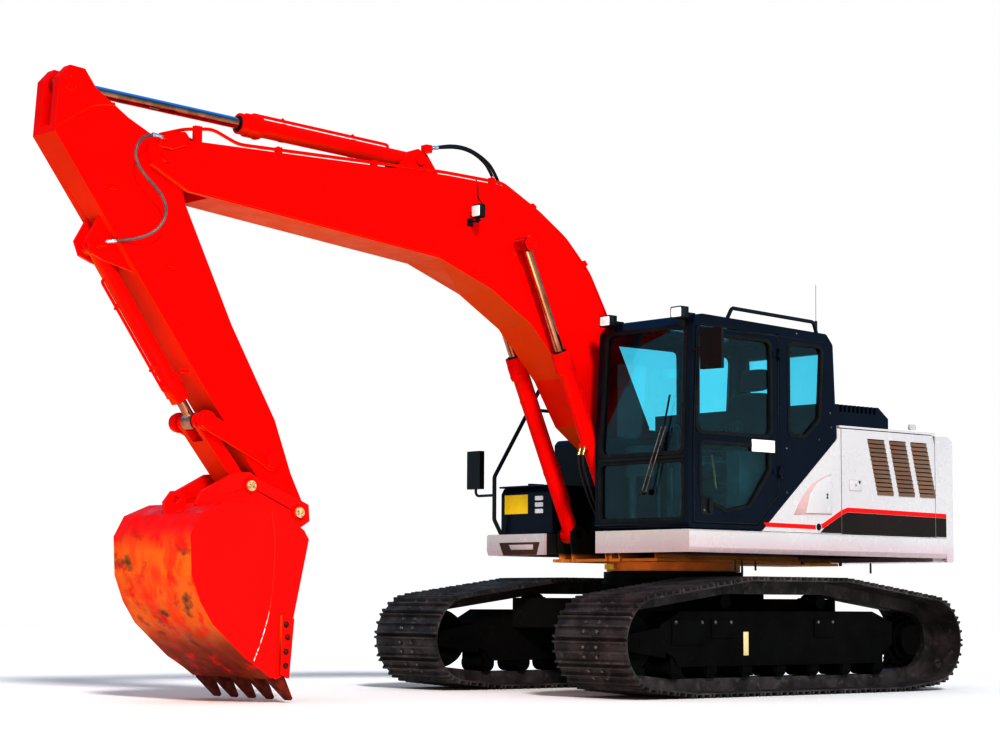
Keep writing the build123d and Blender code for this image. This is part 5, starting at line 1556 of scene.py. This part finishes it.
def tail_trim():
    """Two eyes over the counterweight, and the hood's vents and grip."""
    low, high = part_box("counterweight")
    eyes = Piece("counterweight_eyes", "upper", white)
    for y in (-0.75, 0.75):
        spot = Vector((low[0] + 0.24, y, high[2] - 0.002))
        eyes.slab(lambda u, v, w: spot + Vector((u, w, v)), rounded(tail_eye, 0.02), -0.011, 0.011)
    eyes.done(0.003)
    low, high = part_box("engine_hood")
    on_hood = lambda u, v, w: Vector((u, v, high[2] + w))
    vents = Piece("hood_vents", "hood", dark_rubber)
    x = low[0] + 0.14
    for number in range(hood_vent_count):
        y = high[1] - 0.16 - number * 0.055
        vents.slab(on_hood, oblong(x, x + 0.20, y - 0.012, y + 0.012), -0.0008, 0.0015)
    vents.done(0.0006)
    grip = Piece("hood_grip", "hood", handle_black)
    x = low[0] + 0.07
    middle = (low[1] + high[1]) / 2
    for y in (middle - 0.10, middle + 0.10):
        grip.turned(Vector((x, y, high[2] - 0.001)), (0, 0, 1), grip_post, 12)
    grip.slab(lambda u, v, w: Vector((x + u, v, high[2] + w)),
              oblong(-0.010, 0.010, middle - 0.115, middle + 0.115), 0.024, 0.038)
    grip.done(0.004)


# Bosses, seams and the hoses at the boom cylinder's foot

# Name, place, radius and height of each boss on the guide links
linkage_bosses = [("guide_boss", (4.217, 1.745), 0.055, 0.026), ("link_boss", (4.795, 2.008), 0.066, 0.026)]
link_face = 0.036


def linkage_trim():
    """Round caps over the linkage's pins with their keeper bolts."""
    for name, (x, z), radius, height in linkage_bosses:
        profile = [(0.0, radius), (height, radius), (height + 0.006, radius - 0.008), (height + 0.006, 0.0)]
        for number, (y, out) in enumerate(((link_face, 1), (-0.30 - link_face, -1))):
            cap = Piece(name + "_" + str(number), "guide_links", red)
            cap.turned(at(x, y - out * 0.001, z), (0, out, 0), profile, 28)
            spot = at(x - radius * 0.4, y + out * (height + 0.005), z - radius * 0.3)
            cap.bolt(spot, (0, out, 0), 0.010, 0.009)
            cap.done(smooth=40)


pin_end_places = [(4.419, 1.551), (3.984, 1.371)]


def pin_end_trim():
    """Red collars behind the bucket's pin ends and two bolt dots on each."""
    low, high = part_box("bucket_pins")
    for number, (x, z) in enumerate(pin_end_places):
        for name, y, out in (("left", high[1], 1), ("right", low[1], -1)):
            tag = name + "_" + str(number)
            dots = Piece("pin_dots_" + tag, "bucket", dark_rubber)
            for off in (-0.014, 0.014):
                spot = at(x + off, y - out * 0.001, z + off * 0.6)
                dots.turned(spot, (0, out, 0), [(0, 0.005), (0.002, 0.004), (0.002, 0.0)], 10)
            dots.done()
            collar = Piece("pin_collar_" + tag, "bucket", red)
            collar.ring(lambda u, v, w: at(x + u, y - out * 0.030 + out * w, z + v),
                        circle(0.062, 24), circle(0.0385, 24), 0.0, 0.014)
            collar.done(0.003, smooth=40)


bucket_seam = [(4.437, 1.353), (4.410, 1.200), (4.406, 1.084), (4.416, 0.860), (4.441, 0.658), (4.507, 0.447),
               (4.575, 0.300)]
lip_start = (4.790, 0.443)
lip_end = (4.385, 0.165)


def bucket_seams():
    """Weld bead down each side plate and a wear lip across the bucket's foot."""
    for number, y in enumerate((bucket_left, bucket_right)):
        tube("bucket_seam_" + str(number), "bucket", [at(x, y, z) for x, z in bucket_seam], 0.005, seam_paint)
    way = Vector((lip_end[0] - lip_start[0], 0, lip_end[1] - lip_start[1])).normalized()
    out = Vector((way.z, 0, -way.x))
    if out.z > 0:
        out = -out
    start = at(lip_start[0], 0, lip_start[1]) + way * 0.12
    outline = oblong(0.0, 0.34, bucket_right + 0.004, bucket_left - 0.004)
    panel("bucket_lip", "bucket", finishes["bucket_paint"],
          lambda u, v, w: start + way * u + out * w + Vector((0, v, 0)), outline, -0.001, 0.012, 0.003)


foot_hose_line = [(0.80, -0.078), (0.76, -0.125), (0.66, -0.158), (0.54, -0.165), (0.40, -0.165),
                  (0.28, -0.155), (0.17, -0.140), (0.10, -0.112), (0.07, -0.082)]


def foot_hoses():
    """Two hoses that loop from the near boom cylinder's tube to its foot."""
    foot, head, y = cylinders["boom_near"][1:4]
    for number, offset in enumerate((-0.026, 0.026)):
        line = [beside(foot, head, y + offset, along, out) for along, out in foot_hose_line]
        route = [(p.x - swing_x, p.y, p.z) for p in line]
        hose, places, total = swept("foot_hose_" + str(number), "boom_barrels", route, 0.012, hose_rubber,
                                    0.0, 0.012)
        ends = ferrules("foot_hose_ends_" + str(number), "boom_barrels", places, 0.0132, 0.06, brass)
    spot = beside(foot, head, y, 0.80, -0.060)
    along = (beside(foot, head, y, 1.0, 0) - beside(foot, head, y, 0, 0)).normalized()
    outward = (beside(foot, head, y, 0, -1) - beside(foot, head, y, 0, 0)).normalized()
    place = lambda u, v, w: spot + along * u + Vector((0, v, 0)) + outward * w
    panel("foot_hose_block", "boom_barrels", red, place, oblong(-0.03, 0.03, -0.045, 0.045), 0.0, 0.022, 0.004)


make_world()
make_lights()
make_floor()
dress_nodes()
hoses()
foot_hoses()
shoe_bolts()
frame_trim()
bearing_trim()
side_bands()
louvres()
side_fittings()
cab_gaskets()
cab_trim()
roof_hatch()
cab_lamp_glass()
wiper()
operator_seat()
cab_controls()
tool_box_trim()
ring_label()
deck_underside()
cylinder_trim()
boom_plumbing()
boom_work_lamp()
boom_trim()
arm_trim()
bucket_trim()
tail_trim()
linkage_trim()
pin_end_trim()
bucket_seams()
